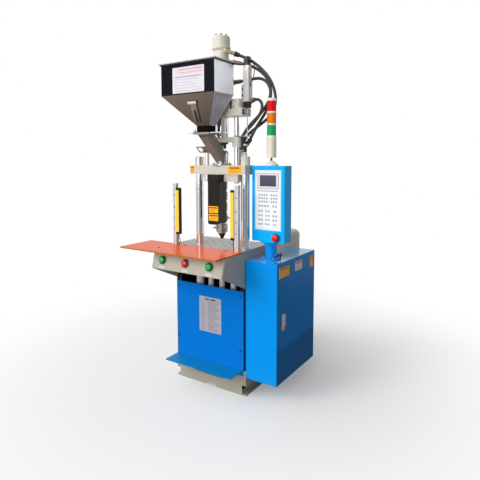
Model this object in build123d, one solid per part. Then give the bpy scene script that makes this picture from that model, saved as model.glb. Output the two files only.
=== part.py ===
from build123d import *
import os
from math import atan2, cos, pi, radians, sin, tan

# Small vertical plastic injection moulding machine, standing on its own base.
# Origin on the floor at the centre of the base, +Z up, the operator stands at -Y. Millimetres.

os.makedirs("parts", exist_ok=True)

# Clearances
run_gap = 0.05          # radial gap of a shaft in its bearing or bush
seat_gap = 0.02         # radial gap where a piece is pressed or screwed home
clear = 0.3             # gap between pieces that move past each other

# Bars and injection axis, which set the widths of the base and the platen
axis_x = 50
axis_y = -285
bar_spacing = 330
bar_dia = 50
bar_neck_dia = 40
bar_x = (axis_x - bar_spacing / 2, axis_x + bar_spacing / 2)

# Base
bar_side_room = 43
base_half_width = bar_x[1] + bar_side_room
base_front = -343
base_rear = 340
skid_height = 62
skid_flange = 26
skid_wall = 8
floor_thick = 8
side_thick = 12
bay_rear = -40
tank_deck = 470
bay_corner = 30
plinth_top = 150
plinth_thick = 5
plinth_notch_low = 48
plinth_notch_high = 35
plinth_notch_rise = 18
front_flange_width = 30
front_flange_thick = 5
rear_sheet = 6
anchor_hole = 14
anchor_inset = 16
anchor_x = base_half_width - anchor_inset
anchor_y = 290

# Front panel, shelf and console
panel_half_width = base_half_width - 13
panel_bottom = 150
panel_top = 615
panel_depth = 10
panel_sheet = 2
shelf_half_width = base_half_width - 17
shelf_front = -478
shelf_top = 155
shelf_sheet = 4
shelf_flange_drop = 30
console_half_width = base_half_width - 6
console_sheet = 3
console_top_edge = 10
console_top_y = -542
console_lip_y = -572
console_lip_z = 738
console_heel_z = 633
button_travel = 4
button_cap_dia = 40
button_stem_dia = 22
collar_dia = 48
collar_height = 9
collar_neck = 14
stem_wall = 4
cap_thick = 9
cap_edge = 6
left_button_x = -172
stop_button_x = -5
right_button_x = 162

# Bed and work table
bed_half_width = base_half_width - 6
bed_front = -359
bed_rear = -55
bed_bottom = 805
bed_top = 850
table_left = -457
table_front = -620
table_bottom = 840
table_thick = 8
bed_tap_dia = 12
bed_tap_depth = 24
bed_tap_pitch = 62
bed_tap_shift = -36

# Clamp unit
bush_wall = 6
guide_dia = 34
guide_offset = 82
guide_bottom = 440
cross_half_depth = 45
cross_bottom = 500
cross_top = 560
clamp_rod_dia = 36
clamp_bore = 90
clamp_wall = 10
clamp_cylinder_bottom = 232
clamp_end_thick = 18
clamp_flange_dia = 112
clamp_flange_thick = 12
clamp_piston_bottom = 428
clamp_piston_thick = 30
end_screw_dia = 24

# Moving platen with its caps
platen_left = bar_x[0] - 37
platen_right = bar_x[1] + 28
platen_half_depth = 50
platen_bottom = 1277
platen_top = 1329
cap_dia = 54
cap_height = 51
boss_drop = 41
boss_half_depth = 40
column_nut_dia = 46

# Injection unit
column_offset = 106
column_dia = 28
column_neck_dia = 22
head_flange_bottom = 1606
head_flange_thick = 44
head_top = 1698
head_half_width = 171
head_upper_half_width = 155
head_half_depth = 50
ram_dia = 84
ram_head_dia = 96
ram_top = 1760
ram_head_thick = 20
inject_cylinder_dia = 116
inject_cylinder_top = 1905
inject_end_thick = 20
traverse_bottom = 1461
traverse_thick = 29
traverse_half_depth = 25
traverse_boss_dia = 50
traverse_boss_drop = 28
screw_shank_dia = 30
screw_shank_top = 1934
screw_dia = 25
screw_core_dia = 16
screw_pitch = 25
screw_tip_z = 918
screw_thread_thick = 3
coupling_dia = 50
coupling_bottom = 1443
coupling_thick = 13
sleeve_dia = 44
sleeve_bottom = inject_cylinder_top + 1
sleeve_length = 132
sleeve_top = sleeve_bottom + sleeve_length
motor_low_dia = 88
motor_mid_dia = 108
motor_top_dia = 102
motor_head_height = 59
motor_bulge_height = 25
motor_taper = 12
motor_top = sleeve_top + 24
motor_step_high = motor_top - motor_head_height
motor_step_low = motor_step_high - motor_bulge_height
motor_shoulder = 10
motor_bolt_circle = 66
motor_bolt_dia = 13
motor_bolt_head = 10
motor_bolt_count = 6

# Barrel
barrel_dia = 52
barrel_bottom = 930
housing_dia = 56
housing_top = 1417
barrel_flange_dia = 120
barrel_flange_thick = 8
nozzle_tip_z = 895
nozzle_tip_dia = 14
nozzle_body_dia = 46
band_dia = 68
band_height = 47
band_pitch = 63
band_count = 5
band_first_z = 937
cover_left = 11
cover_right = 89
cover_front = -372
cover_rear = -292
cover_bottom = 988
cover_sheet = 1.5
cover_corner = 14

# Hopper and chute
hopper_left = -190
hopper_right = 180
hopper_front = -528
hopper_rear = -352
hopper_cone_top = 1715
hopper_top = 1890
hopper_sheet = 2
outlet_width = 86
outlet_depth = 58
outlet_y = -431
outlet_top = 1547
gate_top = 1510
gate_bottom = 1504
gate_left = -45
gate_right = 177
gate_pin_inset = 12
sight_width = 40
sight_length = 116
sight_slot = 11
sight_x = 22
sight_drop = 104
lid_handle_left = -40
lid_handle_length = 80
lid_handle_height = 24
lid_overhang = 6
lid_lip = 20
lid_height = 12
chute_width = 52
chute_top = 1500
chute_wall = 3
chute_flange_half_width = 55
chute_flange_half_depth = 49

# Stroke transducer
transducer_x = 228
transducer_width = 36
transducer_bottom = 1650
transducer_low_cap = 1683
transducer_high_cap = 1880
transducer_top = 1928
sensor_rod_dia = 6

# Hydraulic hoses and their fittings
hose_dia = 17
ferrule_dia = 22
manifold_x = 150
manifold_top = 1400
manifold_half_width = 18
hose_rows = (-204, -226, -248)
cap_port_x = bar_x[1] - 3
cap_port_height = 75

# Light curtain
post_size = 25
post_slot = 6
curtain_post_bottom = 848
curtain_post_top = 1218
left_post_x = 19 - bed_half_width
right_post_x = bed_half_width - 34
curtain_post_y = -373
curtain_unit_width = 26
curtain_unit_depth = 28
curtain_unit_bottom = 912
curtain_unit_top = 1193
curtain_end = 14
lens_width = 12
lens_sink = 2

# Cabinet
cabinet_width = 199
cabinet_right = base_half_width + cabinet_width
cabinet_front = -347
cabinet_rear = 139
cabinet_bottom = 112
cabinet_top = 800
cabinet_sheet = 2
cabinet_lip_z = 776
door_thick = 8
hinge_x = cabinet_right - 4
hinge_y = cabinet_rear - 4
hinge_pin_dia = 5
lock_y = -270
lock_pivot_z = 436
lock_plate_width = 35
lock_plate_low = 412
lock_plate_high = 504
lock_shaft_dia = 8

# Swivel post and control box
post_x = base_half_width + cabinet_width / 2
post_y = -238.5
post_dia = 65
post_spigot_dia = 50
post_height = 83
post_top = cabinet_top + post_height
post_flange_dia = 110
post_flange_thick = 8
lever_z = cabinet_top + 27
lever_pin_dia = 10
lever_boss_dia = 22
neck_foot_dia = 80
spigot_grip = 12
neck_head_dia = 130
box_half_width = 105.5
box_half_depth = 41.5
box_bottom = post_top + 20
box_height = 424
box_top = box_bottom + box_height
box_shift = 2
box_left = post_x - box_half_width + box_shift
box_right = post_x + box_half_width + box_shift
box_front = post_y - box_half_depth
box_sheet = 2.5
box_corner = 6
keypad_left = box_left + 22
keypad_right = box_right - 23
keypad_bottom = box_bottom + 65
keypad_top = box_top - 23
keypad_recess = 3
keypad_thick = 2.5
key_height = 14
key_rise = 0.8
bezel_left = keypad_left + 16
bezel_right = keypad_right - 15
bezel_top = keypad_top - 16
bezel_bottom = bezel_top - 88
screen_left = bezel_left + 17
screen_right = bezel_right - 16
screen_bottom = bezel_bottom + 14
screen_top = bezel_top - 13
estop_x = box_right - 51
estop_z = box_bottom + 28
estop_collar_dia = 46
estop_hole_dia = 30

# Signal tower
tower_body_dia = 54
tower_lens_dia = 52
tower_foot_dia = 78
tower_stem_dia = 12
tower_body_bottom = box_top + 45
tower_body_height = 113
tower_body_top = tower_body_bottom + tower_body_height
tower_ring = 9
tower_lens_height = 57
tower_cap_height = 16

# Oil tank, pump and its motor
tank_half_width = base_half_width - side_thick - 6
tank_front = -30
tank_rear = 330
tank_wall = 3
tank_lid = 8
pump_x = 190
pump_y = 235
pump_motor_dia = 210
pump_motor_seam = tank_deck + 383
pump_motor_top = pump_motor_seam + 43
pump_motor_edge = 35
pump_motor_wall = 8
pump_shaft_dia = 24
pump_shaft_bottom = tank_deck - 126
pump_block = 90
pump_block_top = tank_deck - 80
pump_block_bottom = pump_block_top - 90
pump_corner = 14
suction_dia = 30
suction_bottom = 100
rotor_core_dia = 132
fan_hub_dia = 60
fan_dia = 148

column_x = (axis_x - column_offset, axis_x + column_offset)
guide_x = (axis_x - guide_offset, axis_x + guide_offset)


def block(x, y, z):
    """A box between two limits on each axis."""
    place = Pos((x[0] + x[1]) / 2, (y[0] + y[1]) / 2, (z[0] + z[1]) / 2)
    return place * Box(x[1] - x[0], y[1] - y[0], z[1] - z[0])


def disc(x, y, low, high, dia):
    """An upright cylinder between two heights."""
    return Pos(x, y, (low + high) / 2) * Cylinder(dia / 2, high - low)


def turned(x, y, outline):
    """A solid turned about an upright axis, from (radius, height) points."""
    section = make_face(Plane.XZ * Polyline(*outline, close=True))
    return Pos(x, y, 0) * revolve(section, Axis.Z)


def side_profile(points, left, right):
    """A solid of one (y, z) outline, pushed out from left to right along X."""
    section = make_face(Plane.YZ * Polyline(*points, close=True))
    return Pos(left, 0, 0) * extrude(section, right - left, dir=(1, 0, 0))


def lying(x, y, z, dia, length, along):
    """A cylinder that starts at a point and runs along a direction."""
    plane = Plane(origin=(x, y, z), z_dir=along)
    return extrude(plane * Circle(dia / 2), length)


def upright_edges(solid):
    return solid.edges().filter_by(Axis.Z)


def ferrule(end, onward, length):
    """A hose fitting that meets the hose's end face and points along its first run."""
    along = (Vector(*onward) - Vector(*end)).normalized()
    foot = Vector(*end) - along * length
    return lying(foot.X, foot.Y, foot.Z, ferrule_dia, length, along)


# Base

def base_frame():
    inner = base_half_width - side_thick
    parts = block((-inner, inner), (base_front, base_rear), (skid_height, skid_height + floor_thick))
    for side in (-1, 1):
        edge = side * base_half_width
        web = side * (base_half_width - skid_flange - skid_wall)
        low, high = sorted((edge, web))
        channel = block((low, high), (base_front, base_rear), (0, skid_height))
        hollow_low, hollow_high = sorted((edge, side * (base_half_width - skid_flange)))
        channel -= block((hollow_low, hollow_high), (base_front, base_rear),
                         (skid_wall, skid_height - skid_wall))
        parts += channel
        outline = [(base_front, skid_height), (base_front, bed_bottom), (bay_rear, bed_bottom),
                   (bay_rear, tank_deck), (base_rear, tank_deck), (base_rear, skid_height)]
        low, high = sorted((edge, side * inner))
        plate = side_profile(outline, low, high)
        corner = plate.edges().filter_by(Axis.X).sort_by_distance((low, bay_rear, tank_deck))[0]
        parts += fillet(corner, bay_corner)
        low, high = sorted((side * (inner - front_flange_width), side * inner))
        parts += block((low, high), (base_front, base_front + front_flange_thick),
                       (skid_height + floor_thick, bed_bottom))
    parts += block((-inner, inner), (bay_rear - side_thick, bay_rear),
                   (skid_height + floor_thick, bed_bottom))
    parts += block((-inner, inner), (base_rear - rear_sheet, base_rear),
                   (skid_height + floor_thick, tank_deck))
    web_inner = base_half_width - skid_flange
    front = base_front - plinth_thick
    plinth = block((-base_half_width, base_half_width), (front, base_front),
                   (skid_height, plinth_top))
    plinth += block((-web_inner, web_inner), (front, base_front), (0, skid_height))
    notch = Plane.XZ * Polyline((-plinth_notch_low, 0), (-plinth_notch_high, plinth_notch_rise),
                                (plinth_notch_high, plinth_notch_rise), (plinth_notch_low, 0),
                                close=True)
    plinth -= Pos(0, front, 0) * extrude(make_face(notch), plinth_thick, dir=(0, 1, 0))
    parts += plinth
    for side in (-1, 1):
        for end in (-1, 1):
            parts -= disc(side * anchor_x, end * anchor_y, 0, skid_wall, anchor_hole)
    return parts


def front_panel():
    width = (-panel_half_width, panel_half_width)
    front = base_front - panel_depth
    tray = block(width, (front, base_front), (panel_bottom, panel_top))
    tray = fillet(upright_edges(tray).sort_by(Axis.Y)[0:2], 3)
    inner = panel_half_width - panel_sheet
    return tray - block((-inner, inner), (front + panel_sheet, base_front),
                        (panel_bottom + panel_sheet, panel_top - panel_sheet))


def step_shelf():
    """A thin tread with a flange behind it, screwed to the plinth."""
    rear = base_front - panel_depth
    plate = block((-shelf_half_width, shelf_half_width), (shelf_front, rear),
                  (shelf_top - shelf_sheet, shelf_top))
    plate = fillet(upright_edges(plate).sort_by(Axis.Y)[0:2], 8)
    seat = base_front - plinth_thick
    low = plinth_top - shelf_flange_drop
    plate += block((-shelf_half_width, shelf_half_width), (seat - shelf_sheet, seat),
                   (low, plinth_top))
    plate += block((-shelf_half_width, shelf_half_width), (rear - shelf_sheet, seat),
                   (plinth_top - shelf_sheet, plinth_top))
    return plate + block((-shelf_half_width, shelf_half_width), (rear - shelf_sheet, rear),
                         (plinth_top - shelf_sheet, shelf_top))


console_slope = atan2(console_top_y - console_lip_y, table_bottom - console_lip_z)
console_out = (0, -cos(console_slope), sin(console_slope))
button_y = (console_top_y + console_lip_y) / 2
button_z = (table_bottom + console_lip_z) / 2


def button_plane(x, out=0):
    """The plane of a push button, a distance out from the console's sloping face."""
    origin = (x, button_y + out * console_out[1], button_z + out * console_out[2])
    return Plane(origin=origin, x_dir=(1, 0, 0), z_dir=console_out)


def console():
    shell = side_profile([(console_top_y, table_bottom), (console_lip_y, console_lip_z),
                          (base_front, console_heel_z), (base_front, bed_bottom),
                          (bed_front, bed_bottom), (bed_front, table_bottom)],
                         -console_half_width, console_half_width)
    front = [edge for edge in shell.edges()
             if edge.center().Y < console_top_y - 1 and abs(edge.center().X) > console_half_width - 1
             and edge.center().Y < button_y + 1 and edge.center().Z > console_lip_z + 1]
    shell = fillet(front, console_top_edge)
    inner = console_half_width - console_sheet
    back = console_sheet / cos(console_slope)
    drop = console_top_y - console_lip_y
    slope = drop / (table_bottom - console_lip_z)
    reach = 200
    hollow = side_profile([(console_top_y + back + slope * 10, table_bottom + 10),
                           (console_lip_y + back - slope * reach, console_lip_z - reach),
                           (base_front + 1, console_lip_z - reach), (base_front + 1, table_bottom + 10)],
                          -inner, inner)
    shell -= hollow
    for x in (left_button_x, stop_button_x, right_button_x):
        shell -= extrude(button_plane(x, 1) * Circle(button_stem_dia / 2 + stem_wall), -console_sheet * 2)
    return shell


def button_collar(x):
    """Guard ring on the face with a threaded neck through the sheet."""
    floor = collar_height / 3
    ring = extrude(button_plane(x) * Circle(collar_dia / 2), collar_height)
    ring -= extrude(button_plane(x, floor) * Circle(button_cap_dia / 2 + 1), collar_height)
    neck = console_sheet + collar_neck
    ring += extrude(button_plane(x, -neck) * Circle(button_stem_dia / 2 + stem_wall - seat_gap), neck)
    return ring - extrude(button_plane(x, -30) * Circle(button_stem_dia / 2 + run_gap), 60)


def button_collars():
    return [button_collar(x) for x in (left_button_x, stop_button_x, right_button_x)]


def push_button(x):
    floor = collar_height / 3
    base = floor + button_travel + 1
    cap = extrude(button_plane(x, base) * Circle(button_cap_dia / 2), cap_thick)
    rim = cap.edges().sort_by(Axis((0, 0, 0), console_out))[-1]
    cap = fillet(rim, cap_edge)
    return cap + extrude(button_plane(x, -18) * Circle(button_stem_dia / 2), base + 18)


def work_table():
    plate = block((table_left, bed_half_width), (table_front, bed_front),
                  (table_bottom, table_bottom + table_thick))
    return fillet(upright_edges(plate), 4)


def bed_tap_places():
    """Tapped holes for fixing a mould, in rows on both sides of the axis."""
    places = []
    for column in range(-2, 3):
        for row in (-1, 0, 1, 2):
            if column == 0 and row == 0:
                continue
            places.append((axis_x + bed_tap_shift + column * bed_tap_pitch,
                           axis_y + row * bed_tap_pitch))
    return places


def bed_plate():
    plate = block((-bed_half_width, bed_half_width), (bed_front, bed_rear), (bed_bottom, bed_top))
    plate = chamfer(plate.faces().sort_by(Axis.Z)[-1].edges(), 1.5)
    for x in bar_x:
        plate -= disc(x, axis_y, bed_bottom, bed_top, bar_dia + 2 * bush_wall)
    near_bar = bar_dia / 2 + bush_wall + bed_tap_dia
    for x, y in bed_tap_places():
        if min(abs(x - bar_x[0]), abs(x - bar_x[1])) < near_bar and abs(y - axis_y) < near_bar:
            continue
        plate -= disc(x, y, bed_top - bed_tap_depth, bed_top, bed_tap_dia)
    return plate


def bar_bushes():
    bushes = []
    for x in bar_x:
        ring = disc(x, axis_y, bed_bottom, bed_top, bar_dia + 2 * (bush_wall - seat_gap))
        bushes.append(ring - disc(x, axis_y, bed_bottom, bed_top, bar_dia + 2 * run_gap))
    return bushes


def guide_rods():
    rods = []
    for x in guide_x:
        rod = disc(x, axis_y, guide_bottom, bed_bottom, guide_dia)
        rods.append(chamfer(rod.edges().sort_by(Axis.Z)[0], 3))
    return rods


def clamp_piston():
    radius = clamp_bore / 2 - run_gap
    head = clamp_piston_bottom + clamp_piston_thick
    rod = clamp_rod_dia / 2
    return turned(axis_x, axis_y, [(0, clamp_piston_bottom), (radius - 2, clamp_piston_bottom),
                                   (radius, clamp_piston_bottom + 2), (radius, head), (rod, head),
                                   (rod, bed_bottom - 20), (rod + 12, bed_bottom - 20),
                                   (rod + 12, bed_bottom), (0, bed_bottom)])


def oil_tank():
    tank = block((-tank_half_width, tank_half_width), (tank_front, tank_rear),
                 (skid_height + floor_thick, tank_deck - tank_lid))
    tank = fillet(upright_edges(tank), 12)
    tank -= block((tank_wall - tank_half_width, tank_half_width - tank_wall),
                  (tank_front + tank_wall, tank_rear - tank_wall),
                  (skid_height + floor_thick + tank_wall, tank_deck - tank_lid - tank_wall))
    tank -= disc(pump_x, pump_y, tank_deck - tank_lid - tank_wall, tank_deck, pump_block)
    lid = block((-tank_half_width, tank_half_width), (tank_front, tank_rear),
                (tank_deck - tank_lid, tank_deck))
    lid -= disc(pump_x, pump_y, tank_deck - tank_lid, tank_deck, pump_block)
    return [tank, lid]


def pump_motor():
    """Turned frame with two end shields, and a domed cowl over the fan."""
    radius = pump_motor_dia / 2
    shaft = pump_shaft_dia / 2 + run_gap
    inside = radius - pump_motor_wall
    shield = 14
    frame = turned(pump_x, pump_y, [(shaft, tank_deck), (radius, tank_deck), (radius, pump_motor_seam),
                                    (shaft, pump_motor_seam)])
    frame -= turned(pump_x, pump_y, [(0, tank_deck + shield), (inside, tank_deck + shield),
                                     (inside, pump_motor_seam - shield),
                                     (0, pump_motor_seam - shield)])
    cowl = disc(pump_x, pump_y, pump_motor_seam, pump_motor_top, pump_motor_dia)
    cowl = fillet(cowl.edges().sort_by(Axis.Z)[-1], pump_motor_edge)
    hollow = disc(pump_x, pump_y, pump_motor_seam, pump_motor_top - 3, 2 * radius - 6)
    hollow = fillet(hollow.edges().sort_by(Axis.Z)[-1], pump_motor_edge - 3)
    return [frame, cowl - hollow]


def motor_rotor():
    shaft = pump_shaft_dia / 2
    core_low = tank_deck + 60
    core_high = pump_motor_seam - 70
    fan_low = pump_motor_seam + 6
    rotor = turned(pump_x, pump_y, [(0, pump_shaft_bottom), (shaft, pump_shaft_bottom),
                                    (shaft, core_low), (rotor_core_dia / 2, core_low),
                                    (rotor_core_dia / 2, core_high), (shaft, core_high),
                                    (shaft, fan_low), (fan_hub_dia / 2, fan_low),
                                    (fan_hub_dia / 2, fan_low + 12), (0, fan_low + 12)])
    for blade in range(6):
        vane = block((fan_hub_dia / 2 - 6, fan_dia / 2), (-2, 2), (fan_low, fan_low + 18))
        rotor += Pos(pump_x, pump_y, 0) * Rot(0, 0, blade * 60) * vane
    return rotor


def gear_pump():
    """Pump body hung under the tank lid on a bell housing, with its suction pipe."""
    half = pump_block / 2 - clear
    body = block((pump_x - half, pump_x + half), (pump_y - half, pump_y + half),
                 (pump_block_bottom, pump_block_top))
    body = fillet(upright_edges(body), pump_corner)
    body += disc(pump_x, pump_y, pump_block_top, tank_deck, pump_block - 2 * clear)
    body -= disc(pump_x, pump_y, pump_block_top, tank_deck, pump_block - 16)
    body -= disc(pump_x, pump_y, pump_shaft_bottom - clear, pump_block_top,
                 pump_shaft_dia + 2 * run_gap)
    body += disc(pump_x - 18, pump_y, suction_bottom, pump_block_bottom, suction_dia)
    return body


# Clamp unit that travels with the bars

def lower_crosshead():
    left = bar_x[0] - 35
    right = bar_x[1] + 28
    beam = block((left, right), (axis_y - cross_half_depth, axis_y + cross_half_depth),
                 (cross_bottom, cross_top))
    beam = fillet(upright_edges(beam), 12)
    for x in bar_x:
        beam -= disc(x, axis_y, cross_bottom, cross_top, bar_dia + 2 * seat_gap)
    for x in guide_x:
        beam -= disc(x, axis_y, cross_bottom, cross_top, guide_dia + 2 * run_gap)
    return beam - disc(axis_x, axis_y, cross_bottom, cross_top, clamp_rod_dia + 2 * run_gap)


def clamp_cylinder():
    radius = clamp_bore / 2
    outer = radius + clamp_wall
    floor = clamp_cylinder_bottom + clamp_end_thick
    flange = clamp_flange_dia / 2
    return turned(axis_x, axis_y, [(0, clamp_cylinder_bottom), (outer - 4, clamp_cylinder_bottom),
                                   (outer, clamp_cylinder_bottom + 4),
                                   (outer, cross_bottom - clamp_flange_thick),
                                   (flange, cross_bottom - clamp_flange_thick), (flange, cross_bottom),
                                   (radius, cross_bottom), (radius, floor), (0, floor)])


def tie_bars():
    bars = []
    neck = bar_neck_dia / 2
    radius = bar_dia / 2
    screw = end_screw_dia / 2
    for x in bar_x:
        bars.append(turned(x, axis_y, [(screw, cross_bottom), (radius, cross_bottom),
                                       (radius, platen_bottom), (neck, platen_bottom),
                                       (neck, platen_top + cap_height - 10),
                                       (0, platen_top + cap_height - 10), (0, cross_bottom + 48),
                                       (screw, cross_bottom + 48)]))
    return bars


def rod_nuts():
    """Round caps on the bars, cap screws under them and the column nuts under the platen."""
    nuts = []
    neck = bar_neck_dia / 2 + seat_gap
    top = platen_top + cap_height
    for x in bar_x:
        nuts.append(turned(x, axis_y, [(neck, platen_top), (cap_dia / 2, platen_top),
                                       (cap_dia / 2, top - 3), (cap_dia / 2 - 3, top), (0, top),
                                       (0, top - 9), (neck, top - 9)]))
        shank = end_screw_dia / 2 - seat_gap
        nuts.append(turned(x, axis_y, [(0, cross_bottom - 30), (18, cross_bottom - 30),
                                       (18, cross_bottom - 8), (28, cross_bottom - 8),
                                       (28, cross_bottom), (shank, cross_bottom),
                                       (shank, cross_bottom + 44), (0, cross_bottom + 44)]))
    bore = column_neck_dia / 2 + seat_gap
    wide = column_nut_dia / 2
    slim = wide - 5
    nuts.append(turned(column_x[0], axis_y, [(bore, platen_bottom - 40), (slim, platen_bottom - 40),
                                             (slim, platen_bottom - 17), (wide, platen_bottom - 17),
                                             (wide, platen_bottom), (bore, platen_bottom)]))
    height = 11
    low = platen_bottom - boss_drop - height
    nut = Pos(column_x[1], axis_y, low) * extrude(RegularPolygon(17, 6), height)
    nuts.append(nut - disc(column_x[1], axis_y, low, low + height, 2 * bore))
    low = platen_top + cap_height
    stub = ferrule_dia / 2 - 2
    sleeve = ferrule_dia / 2
    nuts.append(turned(cap_port_x, axis_y, [(0, low), (stub, low), (stub, low + 24),
                                            (sleeve, low + 24), (sleeve, low + 60), (stub, low + 60),
                                            (stub, low + cap_port_height),
                                            (0, low + cap_port_height)])
                + ferrule(hose_2_route[-1], hose_2_route[-2], 20))
    return nuts


def platen():
    depth = (axis_y - platen_half_depth + 3, axis_y + platen_half_depth + 3)
    plate = block((platen_left, platen_right), depth, (platen_bottom, platen_top))
    plate = fillet(upright_edges(plate), 3)
    plate = chamfer(plate.faces().sort_by(Axis.Z)[-1].edges(), 1)
    boss = block((cover_right + 2, bar_x[1] - bar_dia / 2 - 1),
                 (axis_y - boss_half_depth, axis_y + boss_half_depth),
                 (platen_bottom - boss_drop, platen_bottom))
    plate += fillet(upright_edges(boss), 4)
    for x in bar_x:
        plate -= disc(x, axis_y, platen_bottom, platen_top, bar_neck_dia + 2 * seat_gap)
    for x in column_x:
        plate -= disc(x, axis_y, platen_bottom - boss_drop, platen_top,
                      column_neck_dia + 2 * seat_gap)
    return plate - disc(axis_x, axis_y, platen_bottom, platen_top, housing_dia + 2 * seat_gap)


# Injection unit

def injection_columns():
    columns = []
    neck = column_neck_dia / 2
    radius = column_dia / 2
    head = head_flange_bottom + 34
    for index, x in enumerate(column_x):
        low = platen_bottom - (44, boss_drop + 11)[index]
        columns.append(turned(x, axis_y, [(0, low), (neck - 2, low), (neck, low + 2),
                                          (neck, platen_top), (radius, platen_top),
                                          (radius, head), (0, head)]))
    return columns


def top_block():
    flange = block((axis_x - head_half_width, axis_x + head_half_width),
                   (axis_y - head_half_depth, axis_y + head_half_depth),
                   (head_flange_bottom, head_flange_bottom + head_flange_thick))
    flange = fillet(upright_edges(flange), 3)
    upper = block((axis_x - head_upper_half_width, axis_x + head_upper_half_width),
                  (axis_y - head_half_depth, axis_y + head_half_depth),
                  (head_flange_bottom + head_flange_thick, head_top))
    body = flange + fillet(upright_edges(upper), 3)
    body -= disc(axis_x, axis_y, head_flange_bottom, head_top, ram_dia + 2 * run_gap)
    for x in column_x:
        body -= disc(x, axis_y, head_flange_bottom, head_flange_bottom + 35,
                     column_dia + 2 * seat_gap)
    return body


def injection_cylinder():
    outer = inject_cylinder_dia / 2
    bore = ram_head_dia / 2
    roof = inject_cylinder_top - inject_end_thick
    hole = screw_shank_dia / 2 + clear
    tube = turned(axis_x, axis_y, [(bore, head_top), (outer, head_top), (outer, roof + 12),
                                   (outer - 8, inject_cylinder_top), (hole, inject_cylinder_top),
                                   (hole, roof), (bore, roof)])
    return tube + ferrule(hose_3_route[0], hose_3_route[1], 26)


def hydraulic_motor():
    low = motor_low_dia / 2
    mid = motor_mid_dia / 2
    high = motor_top_dia / 2
    bore = sleeve_dia / 2 + run_gap
    body = turned(axis_x, axis_y, [(bore, inject_cylinder_top), (low, inject_cylinder_top),
                                   (low, motor_step_low), (mid, motor_step_low + motor_taper),
                                   (mid, motor_step_high - 3), (high, motor_step_high),
                                   (high, motor_top), (0, motor_top),
                                   (0, sleeve_top + clear), (bore, sleeve_top + clear)])
    body = fillet(body.edges().sort_by(Axis.Z)[-1], motor_shoulder)
    for step in range(motor_bolt_count):
        angle = 2 * pi * (step - 0.95) / motor_bolt_count
        body += disc(axis_x + motor_bolt_circle / 2 * cos(angle),
                     axis_y + motor_bolt_circle / 2 * sin(angle), motor_top,
                     motor_top + motor_bolt_head, motor_bolt_dia)
    body += ferrule(hose_1_route[0], hose_1_route[1], 75)
    return body + ferrule(hose_2_route[0], hose_2_route[1], 40)


def drive_sleeve():
    ring = disc(axis_x, axis_y, sleeve_bottom, sleeve_top, sleeve_dia)
    return ring - disc(axis_x, axis_y, sleeve_bottom, sleeve_top, screw_shank_dia + 2 * run_gap)


def crosshead():
    """Rounded bridge that runs on the two columns and pushes the screw."""
    top = traverse_bottom + traverse_thick
    bridge = extrude(Pos(axis_x, axis_y, traverse_bottom)
                     * SlotCenterToCenter(2 * column_offset, 2 * traverse_half_depth),
                     traverse_thick)
    bridge = chamfer(bridge.faces().sort_by(Axis.Z)[-1].edges(), 1)
    for x in column_x:
        bridge += disc(x, axis_y, traverse_bottom - traverse_boss_drop, traverse_bottom,
                       traverse_boss_dia)
    for x in column_x:
        bridge -= disc(x, axis_y, traverse_bottom - traverse_boss_drop, top,
                       column_dia + 2 * run_gap)
    return bridge - disc(axis_x, axis_y, traverse_bottom, top, screw_shank_dia + 2 * run_gap)


def ram():
    low = traverse_bottom + traverse_thick
    radius = ram_dia / 2
    head = ram_head_dia / 2 - run_gap
    bore = screw_shank_dia / 2 + run_gap
    return turned(axis_x, axis_y, [(bore, low), (radius, low), (radius, ram_top - ram_head_thick),
                                   (head, ram_top - ram_head_thick), (head, ram_top),
                                   (bore, ram_top)])


def sensor_rod():
    """Arm clamped round the crosshead's column boss, with the transducer's rod."""
    low = traverse_bottom + traverse_thick
    reach = transducer_x - column_x[1]
    arm = extrude(Pos(column_x[1] + reach / 2, axis_y, low) * SlotCenterToCenter(reach, 32), 6)
    arm -= disc(column_x[1], axis_y, low, low + 6, column_dia + 4)
    rod = disc(transducer_x, axis_y, low - 24, low, sensor_rod_dia)
    rod += disc(transducer_x, axis_y, low + 6, transducer_low_cap + 20, sensor_rod_dia)
    return arm + rod


def transducer():
    half = transducer_width / 2
    x = (transducer_x - half, transducer_x + half)
    y = (axis_y - half, axis_y + half)
    body = block(x, y, (transducer_low_cap, transducer_high_cap))
    body = fillet(upright_edges(body), 3)
    low_cap = fillet(upright_edges(block(x, y, (transducer_bottom, transducer_low_cap))), 6)
    high_cap = block((x[0] + 2, x[1] - 2), y, (transducer_high_cap, transducer_top))
    high_cap = fillet(upright_edges(high_cap), 8)
    bore = disc(transducer_x, axis_y, transducer_bottom, transducer_high_cap - 10,
                sensor_rod_dia + 2 * run_gap)
    bracket = block((177, x[1]), (y[1], y[1] + 6), (head_top, head_top + 85))
    bracket += block((177, axis_x + head_upper_half_width), (y[1], axis_y + head_half_depth - 4),
                     (head_top, head_top + 6))
    return [body - bore, low_cap - bore, high_cap, bracket]


# Barrel

def barrel():
    bore = screw_dia / 2 + run_gap
    outer = barrel_dia / 2
    housing = housing_dia / 2
    flange = barrel_flange_dia / 2
    body = turned(axis_x, axis_y, [(bore, barrel_bottom), (outer, barrel_bottom),
                                   (outer, platen_bottom), (housing, platen_bottom),
                                   (housing, platen_top), (flange, platen_top),
                                   (flange, platen_top + barrel_flange_thick),
                                   (housing, platen_top + barrel_flange_thick),
                                   (housing, housing_top - 2), (housing - 2, housing_top),
                                   (bore, housing_top)])
    body -= block((axis_x - 14, axis_x + 14), (axis_y - housing, axis_y),
                  (platen_top + 25, platen_top + 70))
    for step in range(6):
        angle = radians(step * 60 + 30)
        body += disc(axis_x + 46 * cos(angle), axis_y + 46 * sin(angle),
                     platen_top + barrel_flange_thick, platen_top + barrel_flange_thick + 8, 13)
    return body


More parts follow.
